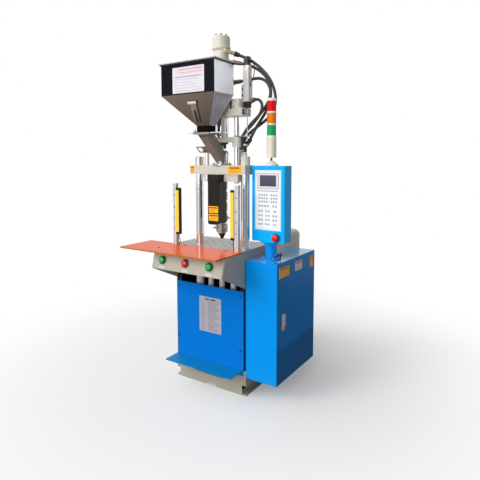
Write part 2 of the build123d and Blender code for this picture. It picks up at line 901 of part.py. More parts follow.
def nozzle():
    tip = nozzle_tip_dia / 2
    body = nozzle_body_dia / 2
    hole = 2
    seat = screw_dia / 2
    return turned(axis_x, axis_y, [(hole, nozzle_tip_z), (tip, nozzle_tip_z),
                                   (tip + 1, nozzle_tip_z + 12), (body, nozzle_tip_z + 16),
                                   (body, barrel_bottom), (seat, barrel_bottom),
                                   (hole, nozzle_tip_z + 20)])


def heater_bands():
    bands = []
    for index in range(band_count):
        low = band_first_z + index * band_pitch
        ring = disc(axis_x, axis_y, low, low + band_height, band_dia)
        ear = block((axis_x - 6, axis_x + 6), (axis_y + band_dia / 2 - 2, axis_y + band_dia / 2 + 14),
                    (low + 8, low + band_height - 8))
        ring += ear
        ring -= disc(axis_x, axis_y, low, low + band_height, barrel_dia + 2 * seat_gap)
        ring -= block((axis_x - 1, axis_x + 1), (axis_y + barrel_dia / 2 - 2, axis_y + 60),
                      (low, low + band_height))
        bands.append(ring)
    return bands


def barrel_cover():
    """Thin bright guard, folded from one sheet and open behind."""
    cover = block((cover_left, cover_right), (cover_front, cover_rear), (cover_bottom, platen_bottom))
    cover = fillet(upright_edges(cover).sort_by(Axis.Y)[0:2], 3)
    cover -= block((cover_left + cover_sheet, cover_right - cover_sheet),
                   (cover_front + cover_sheet, cover_rear),
                   (cover_bottom, platen_bottom - cover_sheet))
    cover -= disc(axis_x, axis_y, cover_bottom, platen_bottom, housing_dia + 4)
    corner = block((cover_left, cover_right), (cover_front, cover_rear),
                   (cover_bottom, platen_bottom))
    low = [edge for edge in corner.edges().filter_by(Axis.Y) if edge.center().Z < cover_bottom + 1]
    return cover & fillet(low, cover_corner)


def screw():
    """Coupling collar, plain stem and a true helical flight on a turned core."""
    shank = screw_shank_dia / 2
    core = screw_core_dia / 2
    root = screw_dia / 2
    neck_top = traverse_bottom - clear
    flight_low = screw_tip_z + 24
    flight_turns = 16
    flight_sink = 0.6
    body = turned(axis_x, axis_y, [(0, screw_tip_z), (core + 1, screw_tip_z + 14),
                                   (core + 1, screw_tip_z + 18), (core, screw_tip_z + 20),
                                   (core, housing_top - 40), (root, housing_top - 36),
                                   (root, housing_top - 8), (core, housing_top - 2),
                                   (core, coupling_bottom), (coupling_dia / 2, coupling_bottom),
                                   (coupling_dia / 2, coupling_bottom + coupling_thick),
                                   (shank + 4, coupling_bottom + coupling_thick),
                                   (shank + 4, neck_top), (shank, neck_top),
                                   (shank, screw_shank_top), (0, screw_shank_top)])
    path = Helix(screw_pitch, screw_pitch * flight_turns, (core + root) / 2)
    start = path @ 0
    section = Plane(origin=start, x_dir=(1, 0, 0), z_dir=path % 0)
    rise = root - core + flight_sink
    flight = sweep(section * Pos(flight_sink / -2, 0) * Rectangle(rise, screw_thread_thick), path,
                   is_frenet=True)
    return body + Pos(axis_x, axis_y, flight_low) * flight


# Hopper and chute

def sight_plane(out=0):
    """The hopper's sloping front, at the middle of its sight strip, a distance out from the sheet."""
    outlet_front = outlet_y - outlet_depth / 2
    slope = Vector(0, outlet_front - hopper_front, outlet_top - hopper_cone_top).normalized()
    outward = Vector(0, slope.Z, -slope.Y)
    origin = Vector(sight_x, hopper_front, hopper_cone_top) + slope * sight_drop + outward * out
    return Plane(origin=origin, x_dir=(1, 0, 0), z_dir=outward)


def hopper():
    """Folded box, four-sided cone, sight strip and outlet collar, one welded shell."""
    def shell(inset):
        box = block((hopper_left + inset, hopper_right - inset),
                    (hopper_front + inset, hopper_rear - inset), (hopper_cone_top, hopper_top))
        top = Pos((hopper_left + hopper_right) / 2, (hopper_front + hopper_rear) / 2,
                  hopper_cone_top) * Rectangle(hopper_right - hopper_left - 2 * inset,
                                               hopper_rear - hopper_front - 2 * inset)
        low = Pos(axis_x, outlet_y, outlet_top) * Rectangle(outlet_width - 2 * inset,
                                                            outlet_depth - 2 * inset)
        collar = block((axis_x - outlet_width / 2 + inset, axis_x + outlet_width / 2 - inset),
                       (outlet_y - outlet_depth / 2 + inset, outlet_y + outlet_depth / 2 - inset),
                       (gate_top, outlet_top))
        return box + loft([low, top]) + collar
    strip = extrude(sight_plane(-1) * Rectangle(sight_width, sight_length), 3.5)
    strip += extrude(sight_plane(-1) * Pos(0, sight_length / 2) * Rectangle(sight_width + 12, 8), 9)
    strip -= extrude(sight_plane(0.5) * RectangleRounded(sight_slot, sight_length / 2, 5), 4)
    body = shell(0) + strip - shell(hopper_sheet)
    foot = block((axis_x - chute_flange_half_width, axis_x + chute_flange_half_width),
                 (outlet_y - chute_flange_half_depth, outlet_y + chute_flange_half_depth),
                 (gate_top, gate_top + 3))
    return body + (foot - block((axis_x - outlet_width / 2 + 1, axis_x + outlet_width / 2 - 1),
                                (outlet_y - outlet_depth / 2 + 1, outlet_y + outlet_depth / 2 - 1),
                                (gate_top, gate_top + 3)))


def hopper_lid():
    """A sheet lid with its rim turned down round the hopper's top."""
    outer = block((hopper_left - lid_overhang, hopper_right + lid_overhang),
                  (hopper_front - lid_overhang, hopper_rear + lid_overhang),
                  (hopper_top - lid_height + hopper_sheet, hopper_top + hopper_sheet))
    rim = lid_overhang - hopper_sheet
    inner = block((hopper_left - rim, hopper_right + rim), (hopper_front - rim, hopper_rear + rim),
                  (hopper_top - lid_height + hopper_sheet, hopper_top))
    lid = fillet(upright_edges(outer), 2) - inner
    low = hopper_top + hopper_sheet
    lid += block((hopper_left - lid_lip, hopper_left),
                 (hopper_front - lid_overhang, hopper_rear + lid_overhang), (hopper_top, low))
    right = lid_handle_left + lid_handle_length
    y = (outlet_y - 8, outlet_y - 2)
    handle = block((lid_handle_left, right), y, (low, low + lid_handle_height))
    handle -= block((lid_handle_left + 8, right - 8), y, (low, low + lid_handle_height - 7))
    return lid + handle


chute_front_top = (-475, chute_top)
chute_front_low = (-300, 1340)
chute_back_top = (-387, chute_top)
chute_back_low = (-298, 1416)


def chute_outline():
    return [chute_front_top, chute_back_top, chute_back_low, (axis_y, chute_back_low[1]),
            (axis_y, chute_front_low[1]), chute_front_low]


chute_fall = Vector(0, chute_front_low[0] - chute_front_top[0], chute_front_low[1] - chute_front_top[1])
chute_fall = chute_fall.normalized()
chute_out = Vector(0, chute_fall.Z, -chute_fall.Y)


def drain_plane(out=0):
    """Plane on the chute's sloping front, a distance out from its face."""
    origin = Vector(axis_x, (chute_front_top[0] + chute_front_low[0]) / 2,
                    (chute_front_top[1] + chute_front_low[1]) / 2) + chute_out * out
    return Plane(origin=origin, x_dir=(1, 0, 0), z_dir=chute_out)


def hopper_chute():
    half = chute_width / 2
    solid = side_profile(chute_outline(), axis_x - half, axis_x + half)
    inner = offset(make_face(Plane.YZ * Polyline(*chute_outline(), close=True)), -chute_wall,
                   kind=Kind.INTERSECTION)
    hollow = extrude(inner, chute_width - 2 * chute_wall, dir=(1, 0, 0))
    hollow = Pos(axis_x - half + chute_wall, 0, 0) * hollow
    solid -= hollow
    flange = block((axis_x - chute_flange_half_width, axis_x + chute_flange_half_width),
                   (outlet_y - chute_flange_half_depth, outlet_y + chute_flange_half_depth),
                   (chute_top, gate_bottom))
    solid += flange
    for side in (-1, 1):
        edge = outlet_y + side * chute_flange_half_depth
        low, high = sorted((edge, edge - side * 5))
        solid += block((axis_x - chute_flange_half_width, axis_x + chute_flange_half_width),
                       (low, high), (gate_bottom, gate_top))
    solid -= block((axis_x - half + chute_wall, axis_x + half - chute_wall),
                   (chute_front_top[0] + chute_wall + 6, chute_back_top[0] - chute_wall),
                   (chute_top - 12, gate_bottom))
    solid -= disc(axis_x, axis_y, platen_top, housing_top + 60, housing_dia + 2 * seat_gap)
    for side in (-1, 1):
        solid += extrude(drain_plane(-1) * Pos(0, side * 27) * Rectangle(chute_width, 5), 5)
    return solid - extrude(drain_plane(1) * Rectangle(30, 30), -chute_wall - 2)


def hopper_gate():
    """Flat slide that shuts the hopper's outlet, with a pull pin at its left end."""
    half = chute_flange_half_depth - 5 - clear
    plate = block((gate_left, gate_right), (outlet_y - half, outlet_y + half),
                  (gate_bottom + clear, gate_top - clear))
    plate = fillet(upright_edges(plate), 6)
    plate -= disc(axis_x, outlet_y, gate_bottom, gate_top, 46)
    knob_x = gate_left + gate_pin_inset
    plate += turned(knob_x, outlet_y, [(0, gate_top - clear), (4, gate_top - clear), (4, gate_top + 6),
                                       (8, gate_top + 8), (8, gate_top + 16), (6, gate_top + 19),
                                       (0, gate_top + 19)])
    return plate


def drain_gate():
    """Slide over the drain hole in the chute, with a loop handle and a clamp knob."""
    out = clear
    length = 125
    plate = extrude(drain_plane(out) * Pos(-32, 0) * RectangleRounded(length, 48, 6), 3)
    plate -= extrude(drain_plane(out) * Pos(-73, 0) * RectangleRounded(30, 34, 5), 3)
    return plate + extrude(drain_plane(out + 3) * Pos(-44, 0) * Circle(7), 18)


# Hoses

hose_1_route = [(155, -285, 1951), (192, -264, 1936), (238, -236, 1908), (283, -225, 1869),
                (319, -208, 1824), (342, -192, 1772), (353, -182, 1712), (343, -175, 1652),
                (297, -168, 1599), (242, -176, 1560), (193, -190, 1525), (150, -204, 1480),
                (manifold_x, hose_rows[0], manifold_top + 20)]
hose_2_route = [(119, -252, 1916), (171, -232, 1906), (224, -208, 1887), (269, -190, 1854),
                (303, -180, 1811), (320, -178, 1754), (315, -180, 1693), (294, -188, 1635),
                (262, -198, 1585), (236, -216, 1534), (220, -230, 1490), (214, -245, 1466),
                (cap_port_x, -264, 1451)]
hose_3_route = [(113, -240, 1807), (164, -232, 1810), (220, -224, 1818), (271, -215, 1820),
                (309, -208, 1798), (332, -205, 1755), (328, -205, 1706), (300, -206, 1659),
                (262, -210, 1614), (216, -216, 1574), (175, -222, 1530), (150, -226, 1478),
                (manifold_x, hose_rows[1], manifold_top + 20)]
hose_4_route = [(219, -248, 1684), (248, -248, 1697), (276, -246, 1699), (298, -246, 1680),
                (302, -246, 1647), (284, -246, 1610), (250, -247, 1572), (205, -248, 1532),
                (150, -248, 1478), (manifold_x, hose_rows[2], manifold_top + 20)]


def hose(route, name):
    """Round hose of straight runs joined by arcs as large as the runs allow."""
    points = [Vector(*point) for point in route]
    radii = []
    for before, here, after in zip(points, points[1:], points[2:]):
        turn = radians((here - before).get_angle(after - here))
        short = min((here - before).length, (after - here).length)
        radii.append(0.45 * short / tan(turn / 2))
    path = FilletPolyline(*points, radius=radii)
    print(name, "length", round(path.length), "radii", [round(radius) for radius in radii])
    section = Plane(origin=points[0], z_dir=path % 0) * Circle(hose_dia / 2)
    tube = sweep(section, path)
    print(name, "volume", round(tube.volume), "of", round(pi * hose_dia ** 2 / 4 * path.length))
    return tube


def hose_manifold():
    """Ported block behind the injection unit, with one ferrule for each hose."""
    rear = hose_rows[0] + 14
    body = block((manifold_x - manifold_half_width, manifold_x + manifold_half_width),
                 (hose_rows[-1] - 11, rear), (platen_top, manifold_top))
    body = fillet(upright_edges(body), 3)
    for y in hose_rows:
        body += disc(manifold_x, y, manifold_top, manifold_top + 20, ferrule_dia - 2)
    return body


def head_port():
    """Fitting on the end face of the upper block."""
    edge = axis_x + head_upper_half_width
    body = block((edge - 40, edge), (axis_y - head_half_depth, axis_y + head_half_depth),
                 (head_flange_bottom, head_top))
    return ferrule(hose_4_route[0], hose_4_route[1], 20) - body


# Light curtain

def curtain_posts():
    """Slotted aluminium posts that stand on the table in front of the bed."""
    half = post_size / 2
    section = RectangleRounded(post_size, post_size, 1.5)
    for turn in range(4):
        section -= Rot(0, 0, turn * 90) * Pos(0, half - 2) * Rectangle(post_slot, 5)
    height = curtain_post_top - curtain_post_bottom
    return [Pos(x, curtain_post_y, curtain_post_bottom) * extrude(section, height)
            for x in (left_post_x, right_post_x)]


def curtain_units():
    """Sender and receiver: housing, two end caps and a sunk window strip each."""
    solids = []
    for x, side in ((left_post_x, 1), (right_post_x, -1)):
        near = x + side * post_size / 2
        far = near + side * curtain_unit_width
        low, high = sorted((near, far))
        front = curtain_post_y - curtain_unit_depth / 2 - 2
        y = (front, front + curtain_unit_depth)
        body = block((low, high), y, (curtain_unit_bottom + curtain_end,
                                      curtain_unit_top - curtain_end))
        body = fillet(upright_edges(body), 3)
        lens_low, lens_high = sorted((far, far - side * lens_sink))
        middle = (y[0] + y[1]) / 2
        lens = block((lens_low, lens_high), (middle - lens_width / 2, middle + lens_width / 2),
                     (curtain_unit_bottom + curtain_end + 6, curtain_unit_top - curtain_end - 6))
        solids.append(body - lens)
        solids.append(lens)
        for cap in ((curtain_unit_bottom, curtain_unit_bottom + curtain_end),
                    (curtain_unit_top - curtain_end, curtain_unit_top)):
            solids.append(fillet(upright_edges(block((low, high), y, cap)), 4))
    return solids


# Cabinet

def cabinet_body():
    left = base_half_width
    door_line = cabinet_right - door_thick - clear
    shell = block((left, door_line), (cabinet_front, cabinet_rear), (cabinet_bottom, cabinet_top))
    shell -= block((left + cabinet_sheet, door_line),
                   (cabinet_front + cabinet_sheet, cabinet_rear - cabinet_sheet),
                   (cabinet_bottom + cabinet_sheet, cabinet_lip_z))
    rear_stop = hinge_x - 6.5
    shell -= block((rear_stop, door_line), (cabinet_rear - cabinet_sheet, cabinet_rear),
                   (cabinet_bottom + cabinet_sheet, cabinet_lip_z))
    shell += block((door_line, cabinet_right), (cabinet_front, cabinet_rear),
                   (cabinet_lip_z, cabinet_top))
    shell += block((door_line, cabinet_right), (cabinet_front, cabinet_rear),
                   (cabinet_bottom, cabinet_bottom + cabinet_sheet))
    shell += block((door_line, cabinet_right), (cabinet_front, cabinet_front + cabinet_sheet),
                   (cabinet_bottom, cabinet_top))
    shell -= block((left + cabinet_sheet, cabinet_right - cabinet_sheet),
                   (cabinet_front + cabinet_sheet, cabinet_rear - cabinet_sheet),
                   (cabinet_lip_z - 1, cabinet_top - cabinet_sheet))
    shell += block((door_line - 8, cabinet_right), (cabinet_front + cabinet_sheet, cabinet_rear),
                   (cabinet_lip_z, cabinet_lip_z + cabinet_sheet))
    for low, high in ((cabinet_bottom, cabinet_bottom + 20), (cabinet_lip_z - 20, cabinet_lip_z + 2)):
        shell += disc(hinge_x, hinge_y, low, high, hinge_pin_dia)
    return shell


def cabinet_door():
    left = cabinet_right - door_thick
    y = (cabinet_front + cabinet_sheet + clear, cabinet_rear)
    z = (cabinet_bottom + cabinet_sheet + clear, cabinet_lip_z - clear)
    door = block((left, cabinet_right), y, z)
    door -= block((left, cabinet_right - cabinet_sheet), (y[0] + cabinet_sheet, hinge_y - 4),
                  (z[0] + cabinet_sheet, z[1] - cabinet_sheet))
    pin = hinge_pin_dia + 2 * run_gap
    door -= disc(hinge_x, hinge_y, z[0], z[0] + 20, pin)
    door -= disc(hinge_x, hinge_y, z[1] - 22, z[1], pin)
    half = lock_plate_width / 2
    plate = block((cabinet_right, cabinet_right + 3), (lock_y - half, lock_y + half),
                  (lock_plate_low, lock_plate_high))
    door += fillet(plate.edges().filter_by(Axis.X), 6)
    return door - lying(left - 1, lock_y, lock_pivot_z, lock_shaft_dia + 2 * run_gap, 20, (1, 0, 0))


def door_lock():
    """Swing handle with its shaft through the door and a cam behind it."""
    outer = cabinet_right + 3 + clear
    inner = cabinet_right - door_thick - clear
    handle = Plane(origin=(outer, lock_y, lock_pivot_z + 28), x_dir=(0, 0, 1), z_dir=(1, 0, 0))
    lever = extrude(handle * SlotCenterToCenter(56, 24), 8)
    lever = fillet(lever.faces().sort_by(Axis.X)[-1].edges(), 3)
    lever += lying(inner - 3, lock_y, lock_pivot_z, lock_shaft_dia, outer - inner + 4, (1, 0, 0))
    cam = Plane(origin=(inner - 3, lock_y, lock_pivot_z + 14), x_dir=(0, 0, 1), z_dir=(1, 0, 0))
    return lever + extrude(cam * SlotCenterToCenter(28, 16), 3)


def control_gear():
    """Mounting plate on stand-offs with rails, switching devices and a power supply."""
    wall = base_half_width + cabinet_sheet
    plate_x = wall + 10
    y = (cabinet_front + 40, cabinet_rear - 40)
    z = (cabinet_bottom + 50, cabinet_lip_z - 60)
    solids = [block((plate_x, plate_x + 3), y, z)]
    for corner_y in (y[0] + 20, y[1] - 20):
        for corner_z in (z[0] + 20, z[1] - 20):
            solids.append(lying(wall, corner_y, corner_z, 12, plate_x - wall, (1, 0, 0)))
    for row, depth in enumerate((70, 85, 60, 45)):
        rail_z = z[1] - 90 - row * 130
        face = plate_x + 3
        rail = block((face, face + 7), (y[0] + 15, y[1] - 15), (rail_z - 17, rail_z + 17))
        solids.append(rail)
        count = (6, 4, 3, 9)[row]
        pitch = (y[1] - y[0] - 50) / count
        for step in range(count):
            start = y[0] + 25 + step * pitch
            solids.append(block((face + 7, face + 7 + depth), (start, start + pitch * 0.86),
                                (rail_z - 40, rail_z + 40)))
    return solids


# Swivel post and control box

def swivel_post():
    bore = post_spigot_dia / 2 + run_gap
    flange = post_flange_dia / 2
    radius = post_dia / 2
    neck = cabinet_top + post_flange_thick
    post = turned(post_x, post_y, [(bore, cabinet_top), (flange, cabinet_top), (flange, neck - 1),
                                   (flange - 1, neck), (radius, neck), (radius, post_top),
                                   (bore, post_top)])
    post += lying(post_x + radius - 3, post_y, lever_z, lever_boss_dia, 11, (1, 0, 0))
    post -= lying(post_x, post_y, lever_z, lever_pin_dia + 2 * run_gap, 60, (1, 0, 0))
    return post - disc(post_x, post_y, cabinet_top, post_top, 2 * bore)


def clamp_lever():
    """Threaded pin with a hub and a tommy bar that grips the box's spigot."""
    boss = post_x + post_dia / 2 + 8
    pin_start = post_x + post_spigot_dia / 2 + 2 * clear
    pin = lying(pin_start, post_y, lever_z, lever_pin_dia, 45, (1, 0, 0))
    hub = lying(boss + clear, post_y, lever_z, lever_pin_dia + 6, 24, (1, 0, 0))
    bar = Pos(boss + 20, post_y, lever_z - 2) * Cylinder(3.5, 36)
    knob = Pos(boss + 20, post_y, lever_z - 20) * Sphere(5)
    return pin + hub + bar + knob


def control_box():
    """Sheet box on a flared neck, turning on a spigot in the post."""
    rear = post_y + box_half_depth
    shell = block((box_left, box_right), (box_front, rear), (box_bottom, box_top))
    shell = fillet(upright_edges(shell), box_corner)
    shell -= block((box_left + box_sheet, box_right - box_sheet),
                   (box_front + keypad_recess + box_sheet, rear - box_sheet),
                   (box_bottom + box_sheet, box_top - box_sheet))
    shell -= block((keypad_left, keypad_right), (box_front, box_front + keypad_recess),
                   (keypad_bottom, keypad_top))
    spigot = post_spigot_dia / 2
    low = cabinet_top + post_flange_thick + 2
    spigot_top = post_top + spigot_grip
    socket = spigot + seat_gap
    neck = turned(post_x, post_y, [(0, spigot_top), (socket, spigot_top),
                                   (socket, post_top + clear),
                                   (neck_foot_dia / 2, post_top + clear),
                                   (neck_foot_dia / 2, post_top + 6),
                                   (neck_head_dia / 2, box_bottom - 3),
                                   (neck_head_dia / 2, box_bottom + 1), (0, box_bottom + 1)])
    hole = button_stem_dia / 2 + run_gap
    collar = lying(estop_x, box_front, estop_z, estop_collar_dia, 8, (0, -1, 0))
    collar += lying(estop_x, box_front + 12, estop_z, estop_hole_dia - 2 * seat_gap, 12, (0, -1, 0))
    shell -= lying(estop_x, box_front + 12, estop_z, estop_hole_dia, 12, (0, -1, 0))
    bore = lying(estop_x, box_front + 20, estop_z, 2 * hole, 40, (0, -1, 0))
    return [shell + neck, disc(post_x, post_y, low, spigot_top, 2 * spigot), collar - bore]


def estop_button():
    head = box_front - 8 - button_travel - 1
    stem = lying(estop_x, box_front + 18, estop_z, button_stem_dia, box_front + 18 - head, (0, -1, 0))
    cap = lying(estop_x, head, estop_z, button_cap_dia, 16, (0, -1, 0))
    cap = fillet(cap.edges().sort_by(Axis.Y)[0], 9)
    return stem + cap


def key_rows():
    """Depth of each row under the panel's top, and its keys' limits from the panel's left."""
    wide = ((20, 85), (98, 145))
    split = ((20, 92), (110, 145))
    three = ((20, 53), (65, 98), (110, 145))
    return [(139, wide), (157, wide), (176, wide), (200, split), (229, three), (254, three),
            (278, three), (302, three)]


def keypad_panel():
    """Membrane plate with raised key pads, in the box's recess."""
    back = box_front + keypad_recess
    front = back - keypad_thick
    edge = 0.5
    plate = block((keypad_left + edge, keypad_right - edge), (front, back),
                  (keypad_bottom + edge, keypad_top - edge))
    for depth, columns in key_rows():
        z = (keypad_top - depth - key_height / 2, keypad_top - depth + key_height / 2)
        for left, right in columns:
            plate += block((keypad_left + left, keypad_left + right), (front - key_rise, front), z)
    return plate


def display_unit():
    front = box_front + keypad_recess - keypad_thick
    bezel = block((bezel_left, bezel_right), (front - 2, front), (bezel_bottom, bezel_top))
    screen = block((screen_left, screen_right), (front - 1.2, front), (screen_bottom, screen_top))
    bezel -= block((screen_left, screen_right), (front - 2, front), (screen_bottom, screen_top))
    return [bezel, screen]


def tower_levels():
    """Bottom and top of each lens, from the green one up to the red one."""
    levels = []
    low = tower_body_top
    for _ in range(3):
        levels.append((low + tower_ring, low + tower_ring + tower_lens_height))
        low += tower_ring + tower_lens_height
    return levels


def tower_body():
    radius = tower_body_dia / 2
    foot = tower_foot_dia / 2
    stem = tower_stem_dia / 2
    solids = [turned(post_x, post_y, [(0, box_top), (foot, box_top), (foot, box_top + 8),
                                      (foot - 18, box_top + 20), (foot - 24, box_top + 27),
                                      (stem, box_top + 27), (stem, tower_body_bottom),
                                      (0, tower_body_bottom)]),
              disc(post_x, post_y, tower_body_bottom, tower_body_top, tower_body_dia)]
    for low, high in tower_levels():
        solids.append(disc(post_x, post_y, low - tower_ring, low, tower_body_dia))
    top = tower_levels()[-1][1]
    cap = disc(post_x, post_y, top, top + tower_cap_height, tower_body_dia)
    solids.append(fillet(cap.edges().sort_by(Axis.Z)[-1], radius / 4))
    return solids


def tower_lenses():
    solids = []
    for low, high in tower_levels():
        lens = disc(post_x, post_y, low, high, tower_lens_dia)
        solids.append(lens - disc(post_x, post_y, low, high, tower_lens_dia - 5))
    return solids


nodes = {
    "base_frame": base_frame, "front_panel": front_panel, "step_shelf": step_shelf,
    "console": console, "button_collars": button_collars, "work_table": work_table,
    "bed_plate": bed_plate, "bar_bushes": bar_bushes, "guide_rods": guide_rods,
    "clamp_piston": clamp_piston, "oil_tank": oil_tank, "pump_motor": pump_motor,
    "motor_rotor": motor_rotor, "gear_pump": gear_pump, "lower_crosshead": lower_crosshead,
    "clamp_cylinder": clamp_cylinder, "tie_bars": tie_bars, "rod_nuts": rod_nuts,
    "platen": platen, "injection_columns": injection_columns,
    "injection_cylinder": injection_cylinder, "hydraulic_motor": hydraulic_motor,
    "drive_sleeve": drive_sleeve, "crosshead": crosshead, "ram": ram, "sensor_rod": sensor_rod,
    "transducer": transducer, "barrel": barrel, "nozzle": nozzle, "heater_bands": heater_bands,
    "barrel_cover": barrel_cover, "screw": screw, "hopper": hopper, "hopper_lid": hopper_lid,
    "hopper_chute": hopper_chute, "hopper_gate": hopper_gate, "drain_gate": drain_gate,
    "hose_manifold": hose_manifold, "curtain_posts": curtain_posts,
    "curtain_units": curtain_units, "cabinet_body": cabinet_body, "cabinet_door": cabinet_door,
    "door_lock": door_lock, "control_gear": control_gear, "swivel_post": swivel_post,
    "clamp_lever": clamp_lever, "control_box": control_box, "keypad_panel": keypad_panel,
    "display_unit": display_unit, "estop_button": estop_button, "tower_body": tower_body,
    "tower_lenses": tower_lenses,
}


def write(name, shape):
    shape = Compound(children=shape) if isinstance(shape, list) else shape
    export_step(shape, "parts/" + name + ".step")


for name, make in nodes.items():
    write(name, make())
write("top_block", [top_block(), head_port()])
write("start_button_left", push_button(left_button_x))
write("stop_button", push_button(stop_button_x))
write("start_button_right", push_button(right_button_x))
for number, route in enumerate((hose_1_route, hose_2_route, hose_3_route, hose_4_route), 1):
    write("hose_" + str(number), hose(route, "hose_" + str(number)))
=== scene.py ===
from math import cos, pi, radians, sin

import bmesh
import bpy
from mathutils import Matrix, Vector


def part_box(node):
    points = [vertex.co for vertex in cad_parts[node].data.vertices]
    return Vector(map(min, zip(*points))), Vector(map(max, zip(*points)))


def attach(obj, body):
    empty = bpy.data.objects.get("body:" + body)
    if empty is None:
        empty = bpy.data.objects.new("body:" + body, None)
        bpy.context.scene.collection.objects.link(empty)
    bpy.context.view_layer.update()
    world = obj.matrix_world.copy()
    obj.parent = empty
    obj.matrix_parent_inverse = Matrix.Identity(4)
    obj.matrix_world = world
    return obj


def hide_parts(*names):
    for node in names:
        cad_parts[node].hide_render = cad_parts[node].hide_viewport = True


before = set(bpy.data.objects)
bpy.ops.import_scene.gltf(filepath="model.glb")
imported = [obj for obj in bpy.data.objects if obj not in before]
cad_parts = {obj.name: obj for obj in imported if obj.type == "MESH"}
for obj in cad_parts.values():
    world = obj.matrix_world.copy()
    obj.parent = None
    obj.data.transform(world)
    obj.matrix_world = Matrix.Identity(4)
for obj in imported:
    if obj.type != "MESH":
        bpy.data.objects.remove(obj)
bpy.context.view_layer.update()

FRONT = (0, -1, 0)
REAR = (0, 1, 0)
RIGHT = (1, 0, 0)
UP = (0, 0, 1)
FILM = 0.0005                       # thickness of a sticker
BARREL_X, BARREL_Y = 0.050, -0.285  # the injection unit's axis


class Extent:
    """The sides of a CAD node's box."""

    def __init__(self, node):
        low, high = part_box(node)
        self.left, self.front, self.low = low
        self.right, self.rear, self.top = high
        self.x = (self.left + self.right) / 2
        self.y = (self.front + self.rear) / 2
        self.z = (self.low + self.top) / 2


# Camera

def make_camera():
    lens = bpy.data.cameras.new("photo_lens")
    lens.sensor_width = 36
    lens.lens = 33.947
    lens.shift_x = -0.01218
    lens.shift_y = -0.0805
    camera = bpy.data.objects.new("photo_camera", lens)
    camera.location = (1.6077, -2.45005, 1.35274)
    camera.rotation_euler = (radians(90 - 5.073), 0, radians(32.699))
    bpy.context.scene.collection.objects.link(camera)
    bpy.context.scene.camera = camera


make_camera()


# Materials

def hue(code):
    """Linear colour from a paint's screen colour, written as six hex digits."""
    parts = [int(code[start:start + 2], 16) / 255 for start in (0, 2, 4)]
    return tuple(part / 12.92 if part <= 0.04045 else ((part + 0.055) / 1.055) ** 2.4
                 for part in parts)


def shaded(colour, factor):
    return tuple(min(1, part * factor) for part in hue(colour))


class Wire:
    """A shader socket that can be used in sums."""

    def __init__(self, finish, socket):
        self.finish = finish
        self.socket = socket

    def sum(self, operation, first, second):
        return self.finish.node("ShaderNodeMath", {"operation": operation}, {0: first, 1: second})

    def __add__(self, other):
        return self.sum("ADD", self, other)

    def __radd__(self, other):
        return self.sum("ADD", other, self)

    def __sub__(self, other):
        return self.sum("SUBTRACT", self, other)

    def __rsub__(self, other):
        return self.sum("SUBTRACT", other, self)

    def __mul__(self, other):
        return self.sum("MULTIPLY", self, other)

    def __rmul__(self, other):
        return self.sum("MULTIPLY", other, self)

    def above(self, edge, blur=0.0004):
        """1 where the value is over the edge, 0 under it."""
        return self.finish.ramp(self, edge - blur, edge + blur)

    def or_more(self, other):
        return self.sum("MAXIMUM", self, other)

    def between(self, low, high, blur=0.0004):
        return self.above(low, blur) * (1 - self.above(high, blur))


class Finish:
    """One procedural material. Values that are the same all over go straight to the shader."""

    def __init__(self, name, colour, roughness=0.4, **same_all_over):
        self.material = bpy.data.materials.new(name)
        self.material.use_nodes = True
        self.tree = self.material.node_tree
        self.shader = self.tree.nodes["Principled BSDF"]
        self.feed(self.shader.inputs["Base Color"], colour)
        self.feed(self.shader.inputs["Roughness"], roughness)
        for name, value in same_all_over.items():
            title = "Specular IOR Level" if name == "specular" else name.replace("_", " ").title()
            self.feed(self.shader.inputs[title], value)
        self.place = self.node("ShaderNodeTexCoord", output="Object")

    def feed(self, socket, value):
        """Links a wire, or sets a number, a vector or a colour such as "C8C6C2"."""
        if isinstance(value, str):
            value = hue(value)
        if isinstance(value, Wire):
            self.tree.links.new(value.socket, socket)
        elif socket.type == "RGBA" and len(value) == 3:
            socket.default_value = (*value, 1)
        else:
            socket.default_value = value

    def node(self, kind, settings=None, values=None, output=0):
        made = self.tree.nodes.new(kind)
        for name, value in (settings or {}).items():
            setattr(made, name, value)
        for name, value in (values or {}).items():
            self.feed(made.inputs[name], value)
        return Wire(self, made.outputs[output])

    def ramp(self, value, low, high, first=0, last=1):
        return self.node("ShaderNodeMapRange", {"interpolation_type": "SMOOTHSTEP"},
                         {"Value": value, "From Min": low, "From Max": high,
                          "To Min": first, "To Max": last})

    def along(self, vector, direction):
        """How far a vector points along a direction."""
        return self.node("ShaderNodeVectorMath", {"operation": "DOT_PRODUCT"},
                         {0: vector, 1: direction}, "Value")

    def ray(self, kind):
        return self.node("ShaderNodeLightPath", output=f"Is {kind} Ray")

    def axes(self, vector=None):
        split = self.node("ShaderNodeSeparateXYZ", values={0: vector or self.place})
        return [Wire(self, socket) for socket in split.socket.node.outputs]

    def facing(self):
        """The three parts of the surface's own direction."""
        return self.axes(self.node("ShaderNodeTexCoord", output="Normal"))

    def noise(self, scale, stretch=(1, 1, 1), detail=3):
        grain = self.node("ShaderNodeMapping", values={"Vector": self.place, "Scale": stretch})
        return self.node("ShaderNodeTexNoise", values={"Vector": grain, "Scale": scale,
                                                       "Detail": detail})

    def mix(self, factor, first, second):
        return self.node("ShaderNodeMix", {"data_type": "RGBA"},
                         {0: factor, 6: first, 7: second}, 2)

    def paint(self, colour):
        self.feed(self.shader.inputs["Base Color"], colour)

    def rough(self, value):
        self.feed(self.shader.inputs["Roughness"], value)

    def relief(self, height, strength, depth):
        bump = self.node("ShaderNodeBump", values={"Height": height, "Strength": strength,
                                                   "Distance": depth})
        self.feed(self.shader.inputs["Normal"], bump)


